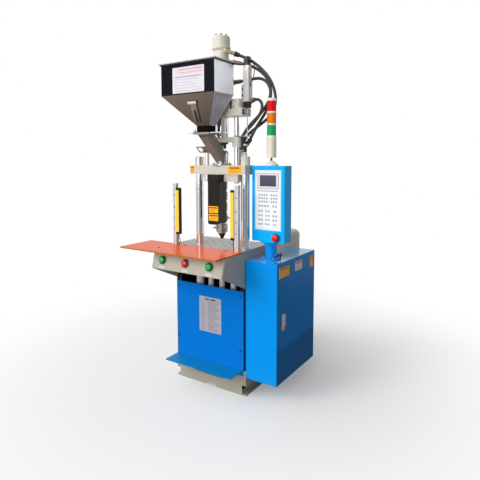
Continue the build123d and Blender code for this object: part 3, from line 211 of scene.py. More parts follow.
def painted(name, colour, roughness=0.34, dusty=0.06, **same_all_over):
    """Sprayed machine paint: faint orange peel, cloudy gloss, a little dust near the floor."""
    finish = Finish(name, colour, **same_all_over)
    cloud = finish.noise(5, detail=4)
    clean = finish.mix(cloud, shaded(colour, 0.95), shaded(colour, 1.04))
    height = finish.axes()[2]
    dust = (1 - height.above(0.12, 0.12)) * finish.noise(30) * dusty
    finish.top_coat = finish.mix(dust, clean, "A39A8C")
    finish.paint(finish.top_coat)
    finish.rough(roughness - 0.05 + 0.1 * finish.noise(22) + dust)
    finish.relief(finish.noise(420, detail=1), 0.12, 0.0004)
    return finish


def polished(name, colour, roughness, grain=(1, 1, 1), streak=0.06, metallic=1.0, relief=0.05):
    """Bare metal with its grinding or drawing marks stretched along one axis."""
    finish = Finish(name, colour, metallic=metallic)
    marks = finish.noise(60, grain, detail=4)
    cloud = finish.noise(9)
    finish.paint(finish.mix(cloud, shaded(colour, 0.93), shaded(colour, 1.03)))
    finish.rough(roughness - streak / 2 + streak * marks)
    finish.relief(marks, relief, 0.0003)
    return finish


def moulded(name, colour, roughness=0.45, **same_all_over):
    """Moulded plastic or rubber with a fine matt grain."""
    finish = Finish(name, colour, **same_all_over)
    finish.paint(finish.mix(finish.noise(14), shaded(colour, 0.9), shaded(colour, 1.08)))
    finish.rough(roughness - 0.05 + 0.1 * finish.noise(50))
    finish.relief(finish.noise(700, detail=1), 0.15, 0.0002)
    return finish


ALONG_Z = (9, 9, 0.25)
AROUND_Z = (0.3, 0.3, 12)

frame_paint = painted("frame_paint", "B2AD9E", specular=0.3)
platen_paint = painted("platen_paint", "CFCABF", dusty=0.0, specular=0.3)
# Pale cream paint of the injection unit, lightened further as painted light to make up for the
# hopper's shadow on the crosshead and head block.
lightened_upper_paint = painted("injection_unit_paint", "F2EFE6", dusty=0.0)
motor_paint = painted("motor_paint", "DAD2C0", roughness=0.42)
panel_paint = painted("panel_paint", "0072CC", roughness=0.4, specular=0.06)
box_paint = painted("box_paint", "00B0FC", roughness=0.32, specular=0.12)
shelf_paint = painted("shelf_paint", "0088C8", roughness=0.4, specular=0.15)
post_paint = painted("post_paint", "0090E8", roughness=0.32, specular=0.2)
chrome = polished("hard_chrome", "E6E4E6", 0.1, AROUND_Z, relief=0.02)
shaft_steel = polished("ground_steel", "B4B3B2", 0.26, AROUND_Z)
dark_steel = polished("blackened_steel", "3B3937", 0.42, metallic=0.8)
cover_sheet = polished("cover_sheet", "34302E", 0.1, ALONG_Z, relief=0.02)
chute_sheet = polished("chute_sheet", "9A928A", 0.5, ALONG_Z, metallic=0.3)
strip_sheet = polished("strip_sheet", "8E8075", 0.3, ALONG_Z, metallic=0.8)
anodised = polished("anodised_profile", "DEDCDC", 0.36, ALONG_Z, metallic=0.3)
zinc = polished("zinc_plate", "C8C6C2", 0.34, metallic=0.4)
cast_bronze = polished("bush_bronze", "B08A4A", 0.3, AROUND_Z)
band_sheet = polished("heater_band_sheet", "A8A29A", 0.24, AROUND_Z)
ear_sheet = polished("heater_clamp_sheet", "6A6461", 0.36, metallic=0.8)
black_plastic = moulded("black_plastic", "1A1A1C", 0.38)
hose_rubber = moulded("hose_rubber", "443E40", 0.24)
crimp_steel = polished("crimp_steel", "8C817B", 0.34, metallic=0.7)
red_plastic = moulded("red_plastic", "E00812", 0.2, specular=0.3, coat_weight=0.5,
                      coat_roughness=0.06)
green_plastic = moulded("green_plastic", "06A042", 0.2, specular=0.3,
                        coat_weight=0.5, coat_roughness=0.06)
white_plastic = moulded("white_plastic", "EEF3F8", 0.35, specular=0.3)
porcelain = moulded("porcelain", "E6DFD2", 0.2, coat_weight=0.5)
white_film = moulded("white_film", "DFDCE4", 0.4, specular=0.2)
grey_film = moulded("grey_film", "ABA7B2", 0.42, specular=0.2)
yellow_film = moulded("yellow_film", "F6B414", 0.4, specular=0.2)
amber_film = moulded("amber_film", "FFB81E", 0.4, specular=0.1)
black_ink = moulded("black_ink", "26262A", 0.5)
grey_ink = moulded("grey_ink", "66646E", 0.5)
key_film = moulded("key_film", "CFDDE8", 0.4)
red_ink = moulded("red_ink", "E2A6AC", 0.5)
blue_ink = moulded("blue_ink", "5A7C92", 0.45)
green_ink = moulded("green_ink", "1E7A48", 0.45)
rose_ink = moulded("rose_ink", "B9A0A0", 0.45)
shade_ink = moulded("shade_ink", "9A98A4", 0.5)
pale_ink = moulded("pale_ink", "C4C2CC", 0.5)
umber_ink = moulded("umber_ink", "C07C20", 0.45)
rust_ink = moulded("rust_ink", "5A2408", 0.45)


def lens_plastic(name, colour):
    return moulded(name, colour, 0.25, specular=0.15, coat_weight=0.1,
                   coat_roughness=0.05)


red_lens = lens_plastic("red_lens", "EC0C10")
orange_lens = lens_plastic("orange_lens", "FA8416")
green_lens = lens_plastic("green_lens", "14AE5C")


def hopper_finish():
    """Mirror sheet whose colour is painted reflection, near-black on the front panel and
    taupe-brown elsewhere; speckled film on the side by the cabinet, black collar.
    """
    # The taupe-brown colour of the mirror sheet is a painted reflection of its surroundings.
    bright = "84766B"
    finish = Finish("hopper_sheet", bright, metallic=1.0)
    z = finish.axes()[2]
    out_x, out_y, _ = finish.facing()
    aside = out_x.above(0.35, 0.05)
    panel = z.above(HOPPER_FOLD, 0.001) * (0 - out_y).above(0.5, 0.05)
    fine = finish.noise(150, detail=2)
    dots = fine.above(0.6, 0.05)
    scratch = finish.noise(60, (1, 1, 0.35), detail=4)
    fold = z.above(HOPPER_FOLD, 0.004)
    film = finish.mix(fold, "BFBCCC", "F0F5FA")
    film = finish.mix(scratch.above(0.5, 0.1) * 0.5, film, finish.mix(fold, "C4C4CE", "F8FAFC"))
    film = finish.mix(dots * 0.75, film, finish.mix(fold, "686878", "94A4C0"))
    sheet = finish.mix(finish.noise(8), shaded(bright, 0.9), shaded(bright, 1.04))
    sheet = finish.mix(dots * 0.3, sheet, shaded(bright, 0.6))
    # Near-black on the front panel is a painted dark reflection in the mirror sheet.
    sheet = finish.mix(panel, sheet, finish.mix(dots * 0.25, "1C1C24", "44454E"))
    sheet = finish.mix(aside, sheet, film)
    collar = 1 - z.above(HOPPER_COLLAR, 0.0005)
    finish.paint(finish.mix(collar, sheet, "100F10"))
    finish.feed(finish.shader.inputs["Metallic"], 1 - 0.2 * aside * (1 - collar))
    finish.rough(0.12 + 0.05 * finish.noise(70, ALONG_Z) + 0.2 * aside + 0.3 * collar)
    finish.relief(finish.noise(26), 0.06, 0.0005)
    return finish


def lid_finish():
    """Dull steel sheet with a dark shadow line under its turned rim."""
    finish = Finish("lid_sheet", "B4AEA8", metallic=0.35)
    z = finish.axes()[2]
    rim = 1 - finish.facing()[2].above(0.5, 0.1)
    line = rim * (1 - z.above(hopper_box.top - 0.003))
    sheet = finish.mix(finish.noise(60), "A8A29C", "CAC4BE")
    finish.paint(finish.mix(line, sheet, "2C2A2C"))
    finish.rough(0.3 + 0.1 * finish.noise(40))
    return finish


def curtain_finish():
    """Yellow housings with black end caps and a black side by the cabinet."""
    finish = Finish("curtain_housing", "F6CE38", 0.32, specular=0.3)
    z = finish.axes()[2]
    units = Extent("curtain_units")
    sideways = finish.facing()[0]
    black = sideways.above(0.5, 0.05)
    ends = 1 - z.between(units.low + 0.014, units.top - 0.014)
    cloud = finish.mix(finish.noise(20), "F2C62C", "FAD850")
    finish.paint(finish.mix(black.or_more(ends), cloud, "1B1612"))
    finish.rough(0.28 + 0.08 * finish.noise(60))
    finish.relief(finish.noise(300, detail=1), 0.08, 0.0003)
    return finish


def cap_finish():
    """Ground cap on the left bar, painted one on the right, and the hose port above it."""
    finish = Finish("cap_steel", "B8B7B5", metallic=1.0)
    x, _, z = finish.axes()
    top = Extent("platen").top
    right = x.above(0.18) * z.above(top - 0.001)
    rise = z - top
    colour = finish.mix(right, "D2CECA", "DDD8CC")
    colour = finish.mix(rise.between(0.075, 0.111), colour, "1A1A1C")
    colour = finish.mix(rise.between(0.111, 0.1205), colour, "EFEEEA")
    colour = finish.mix(rise.above(0.1205), colour, "242223")
    finish.paint(colour)
    finish.feed(finish.shader.inputs["Metallic"], 1 - right)
    finish.rough(0.24 + 0.1 * finish.noise(60, AROUND_Z) + 0.1 * right)
    finish.relief(finish.noise(60, AROUND_Z), 0.05, 0.0003)
    return finish


def bed_finish():
    """Painted plate whose top is milled and wiped with oil; the faces of its holes are near-black
    as painted shade.
    """
    finish = painted("bed_paint_and_milled_top", "C9C6C0", roughness=0.4)
    x, y, z = finish.axes()
    plate = Extent("bed_plate")
    milled = finish.facing()[2].above(0.8, 0.05) * z.above(plate.top - 0.002)
    hole_shade_area = x.between(plate.left + 0.012, plate.right - 0.012) \
        * y.between(plate.front + 0.006, plate.rear - 0.012)
    marks = finish.noise(24, (1, 14, 1), detail=4)
    steel = finish.mix(marks, "8A8688", "B0AAAA")
    colour = finish.mix(milled, "A9A6A0", steel)
    # Near-black on faces inside the plate's outline that are not its milled top, the walls and
    # floors of its holes, is painted shade.
    finish.paint(finish.mix(hole_shade_area * (1 - milled), colour, "0C0B0C"))
    finish.feed(finish.shader.inputs["Metallic"], 0.3 * milled)
    finish.rough(0.4 - 0.12 * milled + 0.1 * marks)
    return finish


def display_finish():
    """White bezel round a dark glass window."""
    finish = Finish("display", "DCDCE2", 0.3)
    x, _, z = finish.axes()
    bezel = Extent("display_unit")
    glass = x.between(bezel.left + 0.0165, bezel.right - 0.0155) \
        * z.between(bezel.low + 0.0135, bezel.top - 0.0125)
    rim = 1 - x.between(bezel.left + 0.003, bezel.right - 0.003) \
        * z.between(bezel.low + 0.003, bezel.top - 0.003)
    glow = finish.node("ShaderNodeMapRange", values={"Value": z, "From Min": bezel.low,
                                                     "From Max": bezel.top})
    pane = finish.mix(glow, "3C3C52", "4A4C62")
    colour = finish.mix(rim, "DEDDE4", "A6A4AE")
    finish.paint(finish.mix(glass, colour, pane))
    finish.rough(0.36 - 0.26 * glass + 0.06 * finish.noise(60))
    return finish


def transducer_finish():
    """Anodised profile with black end caps and a steel bracket."""
    finish = Finish("transducer_profile", "D4D5D8", 0.34)
    _, y, z = finish.axes()
    unit = Extent("transducer")
    bracket = y.above(unit.rear - 0.0282)
    ends = (1 - z.between(unit.low + 0.033, unit.top - 0.048)) * (1 - bracket)
    finish.paint(finish.mix(ends, finish.mix(finish.noise(9), "E4E2E0", "F2F0EE"),
                            "1A1A1C"))
    finish.feed(finish.shader.inputs["Metallic"], 0.25 * (1 - ends))
    finish.rough(0.3 + 0.1 * finish.noise(60, ALONG_Z))
    finish.relief(finish.noise(60, ALONG_Z), 0.04, 0.0003)
    return finish


def tower_finish():
    """Beige foot and body, steel stem, white rings and cap."""
    finish = moulded("tower_plastic", "DDD2BE", 0.36)
    z = finish.axes()[2]
    tower = Extent("tower_body")
    lenses = Extent("tower_lenses")
    stem = (z - tower.low).between(0.0275, 0.0448)
    colour = finish.mix(finish.noise(14), "E6DCC6", "F0E8D6")
    colour = finish.mix(z.above(lenses.low - 0.0095), colour, "F0EEEA")
    finish.paint(finish.mix(stem, colour, "4A4744"))
    return finish


def painted_inner_shade(finish, node, skin, top):
    """Near-black painted shade on a sheet body's inner faces."""
    x, y, z = finish.axes()
    body = Extent(node)
    inside = x.between(body.left + skin, body.right - skin) \
        * y.between(body.front + skin, body.rear - skin) * z.between(0.03, top)
    # The near-black here is painted shade on the inner faces.
    finish.paint(finish.mix(inside, finish.top_coat, "17161A"))
    return finish


def frame_finish():
    return painted_inner_shade(painted("base_paint", "A8A496", specular=0.3),
                       "base_frame", 0.0022, 0.80)


def panel_finish():
    """Blue in front, near-black painted shade on the rear faces behind."""
    panel = Extent("front_panel")
    behind = panel_paint.axes()[1].above(panel.front + 0.0015)
    # The near-black on the rear faces is painted shade.
    panel_paint.paint(panel_paint.mix(behind * panel_paint.facing()[1].above(0.5, 0.1),
                                      panel_paint.top_coat, "17161A"))
    return panel_paint


def cabinet_finish():
    """Blue enamel, glossier on top, with the zinc plate behind the handle; painted light pales the
    top and painted shade darkens the right side, most of all low down.
    """
    finish = painted("cabinet_paint", "0090E8", roughness=0.3, specular=0.12,
                     coat_roughness=0.12)
    x, y, z = finish.axes()
    out_x, _, out_z = finish.facing()
    aside = out_x.above(0.5, 0.05)
    finish.feed(finish.shader.inputs["Coat Weight"], out_z.above(0.7, 0.05))
    # Painted shade: darker blue on the right side and deeper blue low on it; painted light: paler
    # blue on the top.
    low = (1 - z.above(0.31, 0.02)) * aside
    colour = finish.mix(aside, finish.top_coat, "007CCA")
    colour = finish.mix(low * 0.5, colour, "004A80")
    colour = finish.mix(out_z.above(0.7, 0.05), colour, "3C9CDC")
    lock = Extent("door_lock")
    plate = x.above(Extent("cabinet_body").right + 0.0003) * z.between(0.411, 0.505) \
        * y.between(lock.y - 0.0180, lock.y + 0.0180)
    finish.paint(finish.mix(plate, colour, "B4B2AE"))
    return finish


def table_finish():
    """Orange enamel under a clear coat, browner on the sheared edges."""
    finish = painted("table_enamel", "F25C04", roughness=0.3, dusty=0.0,
                     specular=0.05, coat_weight=0.24, coat_roughness=0.03)
    edge = 1 - finish.facing()[2].above(0.5, 0.1)
    finish.paint(finish.mix(edge, finish.top_coat, "C4661E"))
    return finish


def bar_finish():
    """Hard chrome, dull and pale where the bars run inside the base."""
    finish = polished("bar_chrome", "E6E4E6", 0.1, AROUND_Z, relief=0.02)
    deep = 1 - finish.axes()[2].above(0.8)
    finish.feed(finish.shader.inputs["Metallic"], 1 - 0.85 * deep)
    finish.rough(0.1 + 0.3 * deep)
    return finish


def head_finish():
    """The injection unit's pale paint, with plain steel bolts on the motor's head."""
    finish = painted("motor_head_paint", "DAD5C9", dusty=0.0)
    x, _, z = finish.axes()
    motor = Extent("hydraulic_motor")
    bolts = z.above(motor.top - 0.0095)
    fitting = x.above(0.1075) * z.above(1.90)
    colour = finish.mix(bolts, finish.top_coat, "A49C8E")
    finish.paint(finish.mix(fitting, colour, "A8927C"))
    return finish


def dress(finish, *nodes):
    for name in nodes:
        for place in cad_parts[name].material_slots:
            place.material = finish.material


hopper_box = Extent("hopper")
HOPPER_COLLAR = hopper_box.low + 0.0372
HOPPER_FOLD = hopper_box.low + 0.205

dress(frame_finish(), "base_frame")
dress(frame_paint, "console", "lower_crosshead", "clamp_cylinder", "oil_tank")
dress(platen_paint, "platen")
dress(lightened_upper_paint, "crosshead", "top_block", "injection_cylinder")
dress(head_finish(), "hydraulic_motor")
dress(motor_paint, "pump_motor")
dress(panel_finish(), "front_panel")
dress(shelf_paint, "step_shelf")
dress(cabinet_finish(), "cabinet_body", "cabinet_door")
dress(post_paint, "swivel_post")
dress(box_paint, "control_box")
dress(table_finish(), "work_table")
dress(bed_finish(), "bed_plate")
dress(bar_finish(), "tie_bars", "guide_rods", "clamp_piston")
dress(chrome, "injection_columns", "ram", "hopper_gate")
dress(shaft_steel, "drive_sleeve", "sensor_rod", "barrel", "screw", "hose_manifold", "gear_pump")
dress(dark_steel, "nozzle", "motor_rotor")
dress(cap_finish(), "rod_nuts")
dress(cover_sheet, "barrel_cover")
dress(hopper_finish(), "hopper")
dress(lid_finish(), "hopper_lid")
dress(chute_sheet, "hopper_chute", "drain_gate")
dress(anodised, "curtain_posts", "control_gear")
dress(cast_bronze, "bar_bushes")
dress(band_sheet, "heater_bands")
dress(black_plastic, "button_collars", "clamp_lever")
dress(zinc, "door_lock")
dress(curtain_finish(), "curtain_units")
dress(white_plastic, "keypad_panel")
dress(display_finish(), "display_unit")
dress(transducer_finish(), "transducer")
dress(tower_finish(), "tower_body")
dress(red_plastic, "estop_button", "stop_button")
dress(green_plastic, "start_button_left", "start_button_right")


# Shapes

def facing(point, out, up=UP):
    """Places a shape with its own Z along out and its own Y towards up."""
    out = Vector(out).normalized()
    across = Vector(up).cross(out).normalized()
    turn = Matrix((across, out.cross(across), out)).transposed().to_4x4()
    return Matrix.Translation(point) @ turn


def upward(point):
    return facing(point, UP, REAR)


def shifted(place, *step):
    return place @ Matrix.Translation(step)


def broken(shape, edges, width, segments=2):
    bmesh.ops.bevel(shape, geom=edges, offset=width, offset_type="OFFSET", affect="EDGES",
                    segments=segments, profile=0.5, material=-1)


def slab(size, edge=0.0, corner=0.0, centred=False):
    """A plate standing on its own plane, or about its own centre, with rounded corners."""
    shape = bmesh.new()
    bmesh.ops.create_cube(shape, size=1)
    bmesh.ops.scale(shape, vec=size, verts=shape.verts)
    if not centred:
        bmesh.ops.translate(shape, vec=(0, 0, size[2] / 2), verts=shape.verts)
    if corner:
        upright = [e for e in shape.edges
                   if abs(e.verts[0].co.z - e.verts[1].co.z) > size[2] / 2]
        broken(shape, upright, corner, 4)
    if edge:
        top = max(v.co.z for v in shape.verts)
        rim = [e for e in shape.edges if min(v.co.z for v in e.verts) > top - 1e-6]
        broken(shape, rim, edge)
    return shape


def turned(outline, steps=32):
    """A shape turned about its own Z axis, from (radius, height) points."""
    shape = bmesh.new()
    points = [shape.verts.new((radius, 0, height)) for radius, height in outline]
    edges = [shape.edges.new(pair) for pair in zip(points, points[1:])]
    bmesh.ops.spin(shape, geom=points + edges, cent=(0, 0, 0), axis=(0, 0, 1), dvec=(0, 0, 0),
                   angle=2 * pi, steps=steps, use_merge=True)
    bmesh.ops.remove_doubles(shape, verts=shape.verts, dist=1e-6)
    return shape


def prism(across, height, sides=6, edge=0.0005):
    """A nut's body, standing on its own plane."""
    shape = bmesh.new()
    bmesh.ops.create_circle(shape, cap_ends=True, radius=across / 2 / cos(pi / sides),
                            segments=sides)
    grown = bmesh.ops.extrude_face_region(shape, geom=shape.faces[:])["geom"]
    raised = [v for v in grown if isinstance(v, bmesh.types.BMVert)]
    bmesh.ops.translate(shape, vec=(0, 0, height), verts=raised)
    rim = [e for e in shape.edges if all(v in raised for v in e.verts)]
    broken(shape, rim, edge)
    return shape


def socket_screw(head, height):
    """Cap screw head with its socket, standing on its own plane."""
    rim = head / 2
    socket = head * 0.28
    return turned([(0, height * 0.35), (socket, height * 0.35), (socket, height),
                   (rim - height * 0.18, height), (rim, height * 0.8), (rim, 0), (0, 0)], 24)


def pan_screw(head):
    """Low domed head with a driver recess."""
    rim = head / 2
    rise = head * 0.28
    return turned([(0, rise * 0.5), (head * 0.12, rise * 0.62), (head * 0.17, rise),
                   (rim * 0.62, rise * 0.88), (rim * 0.92, rise * 0.45), (rim, 0), (0, 0)], 20)


class Piece:
    """A detail piece, gathered from shapes that are each put where the machine has them."""

    def __init__(self):
        self.mesh = bmesh.new()

    def add(self, shape, place, finish=0):
        for face in shape.faces:
            face.material_index = finish
        bmesh.ops.recalc_face_normals(shape, faces=shape.faces)
        held = bpy.data.meshes.new("shape")
        shape.to_mesh(held)
        shape.free()
        held.transform(place)
        self.mesh.from_mesh(held)
        bpy.data.meshes.remove(held)

    def build(self, name, body, slot, *finishes):
        mesh = bpy.data.meshes.new(name)
        self.mesh.to_mesh(mesh)
        self.mesh.free()
        for finish in finishes:
            mesh.materials.append(finish.material)
        mesh.polygons.foreach_set("use_smooth", [True] * len(mesh.polygons))
        mesh.set_sharp_from_angle(angle=radians(32))
        made = bpy.data.objects.new(name, mesh)
        bpy.context.scene.collection.objects.link(made)
        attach(made, body)
        return made


def single(shape, place, name, body, slot, finish):
    piece = Piece()
    piece.add(shape, place)
    return piece.build(name, body, slot, finish)


def screws(name, body, make, size, places, finish, slot="steel"):
    """One piece with a screw head at each place."""
    piece = Piece()
    for place in places:
        piece.add(make(*size), place)
    piece.build(name, body, slot, finish)


# Hoses and cables

HOSE_DIAMETER = 0.017
CABLE_DIAMETER = 0.005

# Control points in millimetres.
HOSE_ROUTES = {
    "hose_1": [(155, -285, 1951), (192, -264, 1936), (238, -236, 1908),
               (283, -225, 1869), (319, -208, 1824), (342, -192, 1772),
               (353, -182, 1712), (343, -175, 1652), (297, -168, 1599),
               (242, -176, 1560), (193, -190, 1525), (150, -204, 1480),
               (150, -204, 1420)],
    "hose_2": [(119, -252, 1916), (171, -232, 1906), (224, -208, 1887),
               (269, -190, 1854), (303, -180, 1811), (320, -178, 1754),
               (315, -180, 1693), (294, -188, 1635), (262, -198, 1585),
               (236, -216, 1534), (220, -230, 1490), (214, -245, 1466),
               (212, -264, 1451)],
    "hose_3": [(113, -240, 1807), (164, -232, 1810), (220, -224, 1818),
               (271, -215, 1820), (309, -208, 1798), (332, -205, 1755),
               (328, -205, 1706), (300, -206, 1659), (262, -210, 1614),
               (216, -216, 1574), (175, -222, 1530), (150, -226, 1478),
               (150, -226, 1420)],
    "hose_4": [(219, -248, 1684), (248, -248, 1697), (276, -246, 1699),
               (298, -246, 1680), (302, -246, 1647), (284, -246, 1610),
               (250, -247, 1572), (205, -248, 1532), (150, -248, 1478),
               (150, -248, 1420)],
}

SENSOR_CABLE = [(246, -285, 1905), (262, -285, 1900), (273, -281, 1874),
                (268, -277, 1838), (258, -276, 1802), (250, -280, 1783),
                (246, -284, 1770)]
LEFT_CURTAIN_CABLE = [(-207.5, -375, 912), (-207, -376, 898),
                      (-197.5, -379, 884), (-193, -381, 870),
                      (-201, -380, 857), (-205, -378, 848)]
RIGHT_CURTAIN_CABLE = [(192.5, -375, 912), (191, -376, 896),
                       (194.5, -379, 880), (198.5, -380, 864),
                       (197, -378, 848)]
BARREL_CONDUIT = [(108, -312, 1329), (109, -313, 1352), (112, -312, 1378),
                  (109, -308, 1401), (96, -301, 1410), (82, -294, 1400),
                  (72, -290, 1385)]


def metres(route):
    return [tuple(value / 1000 for value in point) for point in route]


def flexible(name, route, diameter, finish, body):
    """A round hose or cable along its route's control points."""
    line = bpy.data.curves.new(name, "CURVE")
    line.dimensions = "3D"
    spline = line.splines.new("NURBS")
    spline.points.add(len(route) - 1)
    for point, place in zip(spline.points, route):
        point.co = (*place, 1)
    spline.order_u = 3
    spline.use_endpoint_u = True
    spline.resolution_u = 8
    line.bevel_depth = diameter / 2
    line.bevel_resolution = 5
    line.use_fill_caps = True
    line.materials.append(finish.material)
    made = bpy.data.objects.new(name, line)
    bpy.context.scene.collection.objects.link(made)
    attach(made, body)
    return made


def crimp(route, name, finish, length=0.04):
    """A pressed sleeve over the first part of a route, with a hexagon behind it."""
    start = Vector(route[0])
    along = (Vector(route[1]) - start).normalized()
    bore = HOSE_DIAMETER / 2
    rim = bore + 0.0042
    outline = [(bore - 0.001, 0), (rim, 0)]
    for ring in range(int(length / 0.0095)):
        z = 0.006 + ring * 0.0085
        outline += [(rim, z), (rim - 0.0012, z + 0.002), (rim - 0.0012, z + 0.004),
                    (rim, z + 0.006)]
    outline += [(rim, length - 0.001), (rim - 0.002, length), (bore - 0.001, length)]
    piece = Piece()
    piece.add(turned(outline + [outline[0]], 28), facing(start, along))
    piece.add(prism(0.027, 0.010), facing(start - along * 0.010, along))
    return piece.build(name, "platen", "steel", finish)


def hoses():
    for name, points in HOSE_ROUTES.items():
        route = metres(points)
        hose = flexible(name + "_rubber", route, HOSE_DIAMETER, hose_rubber, "platen")
        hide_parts(name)
        short = name == "hose_1"
        sleeves = [crimp(route, name + "_upper_sleeve", dark_steel if short else crimp_steel,
                         0.018 if short else 0.040),
                   crimp(route[::-1], name + "_lower_sleeve", dark_steel)]


hoses()


def route_length(route):
    return sum((Vector(b) - Vector(a)).length for a, b in zip(route, route[1:]))


def cable(name, points, diameter, finish, body):
    route = metres(points)
    made = flexible(name, route, diameter, finish, body)
    route_length(route) * 0.96


cable("sensor_cable", SENSOR_CABLE, CABLE_DIAMETER, black_plastic, "platen")
cable("left_curtain_cable", LEFT_CURTAIN_CABLE, CABLE_DIAMETER, black_plastic, "base")
cable("right_curtain_cable", RIGHT_CURTAIN_CABLE, CABLE_DIAMETER, black_plastic, "base")
cable("barrel_conduit", BARREL_CONDUIT, 0.008, band_sheet, "platen")


# Stickers and tags

def label(name, body, place, size, slot, ground, inks, marks):
    """A sticker. Its marks are (ink, across, rise, width, height) from its centre."""
    width, height = size
    piece = Piece()
    piece.add(slab((width, height, FILM), corner=min(size) * 0.03), place)
    for ink, across, rise, wide, high in marks:
        piece.add(slab((wide, high, FILM / 2)),
                  shifted(place, across, rise, FILM), ink)
    return piece.build(name, body, slot, ground, *inks)


def greeked_rows(ink, left, right, top, bottom, count, depth):
    """Rows of plain bars of uneven length, in place of printed words."""
    marks = []
    for row in range(count):
        share = 0.55 + 0.45 * abs(sin(row * 2.4 + 1))
        width = (right - left) * share
        rise = top - (top - bottom) * row / max(1, count - 1)
        marks.append((ink, left + width / 2, rise, width, depth))
    return marks


def hopper_sticker():
    sheet = Extent("hopper")
    low, high, left, right = 1.722, 1.8605, -0.106, 0.113
    width, height = right - left, high - low
    marks = [(1, 0.016, height * 0.40, width * 0.76, 0.009),
             (1, 0.016, height * 0.28, width * 0.72, 0.006),
             (2, 0.0, height * 0.12, width * 0.84, 0.005)]
    marks += greeked_rows(3, -width * 0.42, width * 0.42, height * 0.02, -height * 0.42, 5, 0.0035)
    place = facing(((left + right) / 2, sheet.front, (low + high) / 2), FRONT)
    label("hopper_sticker", "platen", place, (width, height), "keypad_white", white_film,
          (red_ink, shade_ink, pale_ink), marks)


def name_plate():
    panel = Extent("front_panel")
    low, high, left, right = 0.333, 0.547, -0.072, 0.089
    width, height = right - left, high - low
    place = facing(((left + right) / 2, panel.front, (low + high) / 2), FRONT)
    marks = [(1, -0.022, height * 0.43, 0.030, 0.008), (1, 0.022, height * 0.43, 0.034, 0.008)]
    marks += greeked_rows(2, -width * 0.42, -width * 0.2, height * 0.34, -height * 0.44, 17, 0.0026)
    marks += greeked_rows(2, -width * 0.12, width * 0.42, height * 0.34, -height * 0.44, 17, 0.0026)
    label("name_plate", "base", place, (width, height), "keypad_white", grey_film,
          (black_ink, grey_ink), marks)


def yellow_label(name, body, place, size, header=0.7):
    width, height = size
    marks = [(1, 0, height * 0.26, width * header, height * 0.16)]
    marks += greeked_rows(2, -width * 0.4, width * 0.4, height * 0.02, -height * 0.34, 3,
                          height * 0.05)
    label(name, body, place, size, "table_orange", yellow_film, (rust_ink, umber_ink), marks)


def platen_labels():
    plate = Extent("platen")
    for name, left, right in (("platen_label_left", -0.149, -0.119),
                              ("platen_label_right", 0.127, 0.219)):
        place = facing(((left + right) / 2, plate.front, 1.3035), FRONT)
        yellow_label(name, "platen", place, (right - left, 0.041))


def cover_labels():
    cover = Extent("barrel_cover")
    left, right = cover.left + 0.008, cover.right - 0.003
    for name, low, high in (("cover_label_upper", 1.056, 1.095),
                            ("cover_label_lower", 1.010, 1.050)):
        place = facing(((left + right) / 2, cover.front, (low + high) / 2), FRONT)
        yellow_label(name, "platen", place, (right - left, high - low), 0.86)


def cabinet_labels():
    side = Extent("cabinet_body").right
    places = (("cabinet_label_front", -0.3245, -0.2045, 0.713, 0.770, amber_film),
              ("cabinet_label_middle", -0.1305, -0.0375, 0.717, 0.771, white_film),
              ("cabinet_label_rear", 0.0737, 0.116, 0.701, 0.772, amber_film))
    for name, front, rear, low, high, ground in places:
        width, height = rear - front, high - low
        place = facing((side, (front + rear) / 2, (low + high) / 2), RIGHT)
        marks = [(1, 0, height * 0.33, width * 0.86, height * 0.2)]
        marks += greeked_rows(2, -width * 0.38, width * 0.38, height * 0.1, -height * 0.36, 4,
                              0.003)
        label(name, "door", place, (width, height), "table_orange", ground,
              (umber_ink, rose_ink), marks)


CONSOLE_POINT = (0, -0.557, 0.789)
CONSOLE_OUT = Vector((0, -0.9594, 0.2822))
CONSOLE_RISE = Vector((0, 0.2822, 0.9594))


def button_tags():
    """Blank white strips under the three buttons, on the sloping face."""
    for name, button in (("left", "start_button_left"), ("middle", "stop_button"),
                         ("right", "start_button_right")):
        x = Extent(button).x
        face = Vector((x, CONSOLE_POINT[1], CONSOLE_POINT[2])) - CONSOLE_RISE * 0.041
        label("button_tag_" + name, "base", facing(face, CONSOLE_OUT), (0.036, 0.010),
              "keypad_white", white_film, (grey_ink,), [(1, 0, 0, 0.026, 0.002)])


def transducer_label():
    unit = Extent("transducer")
    place = facing((unit.right - 0.026, unit.front, 1.873), FRONT)
    label("transducer_label", "platen", place, (0.016, 0.012), "keypad_white", white_film,
          (yellow_film,), [(1, 0, 0, 0.012, 0.008)])


hopper_sticker()
name_plate()
platen_labels()
cover_labels()
cabinet_labels()
button_tags()
transducer_label()


# Control box

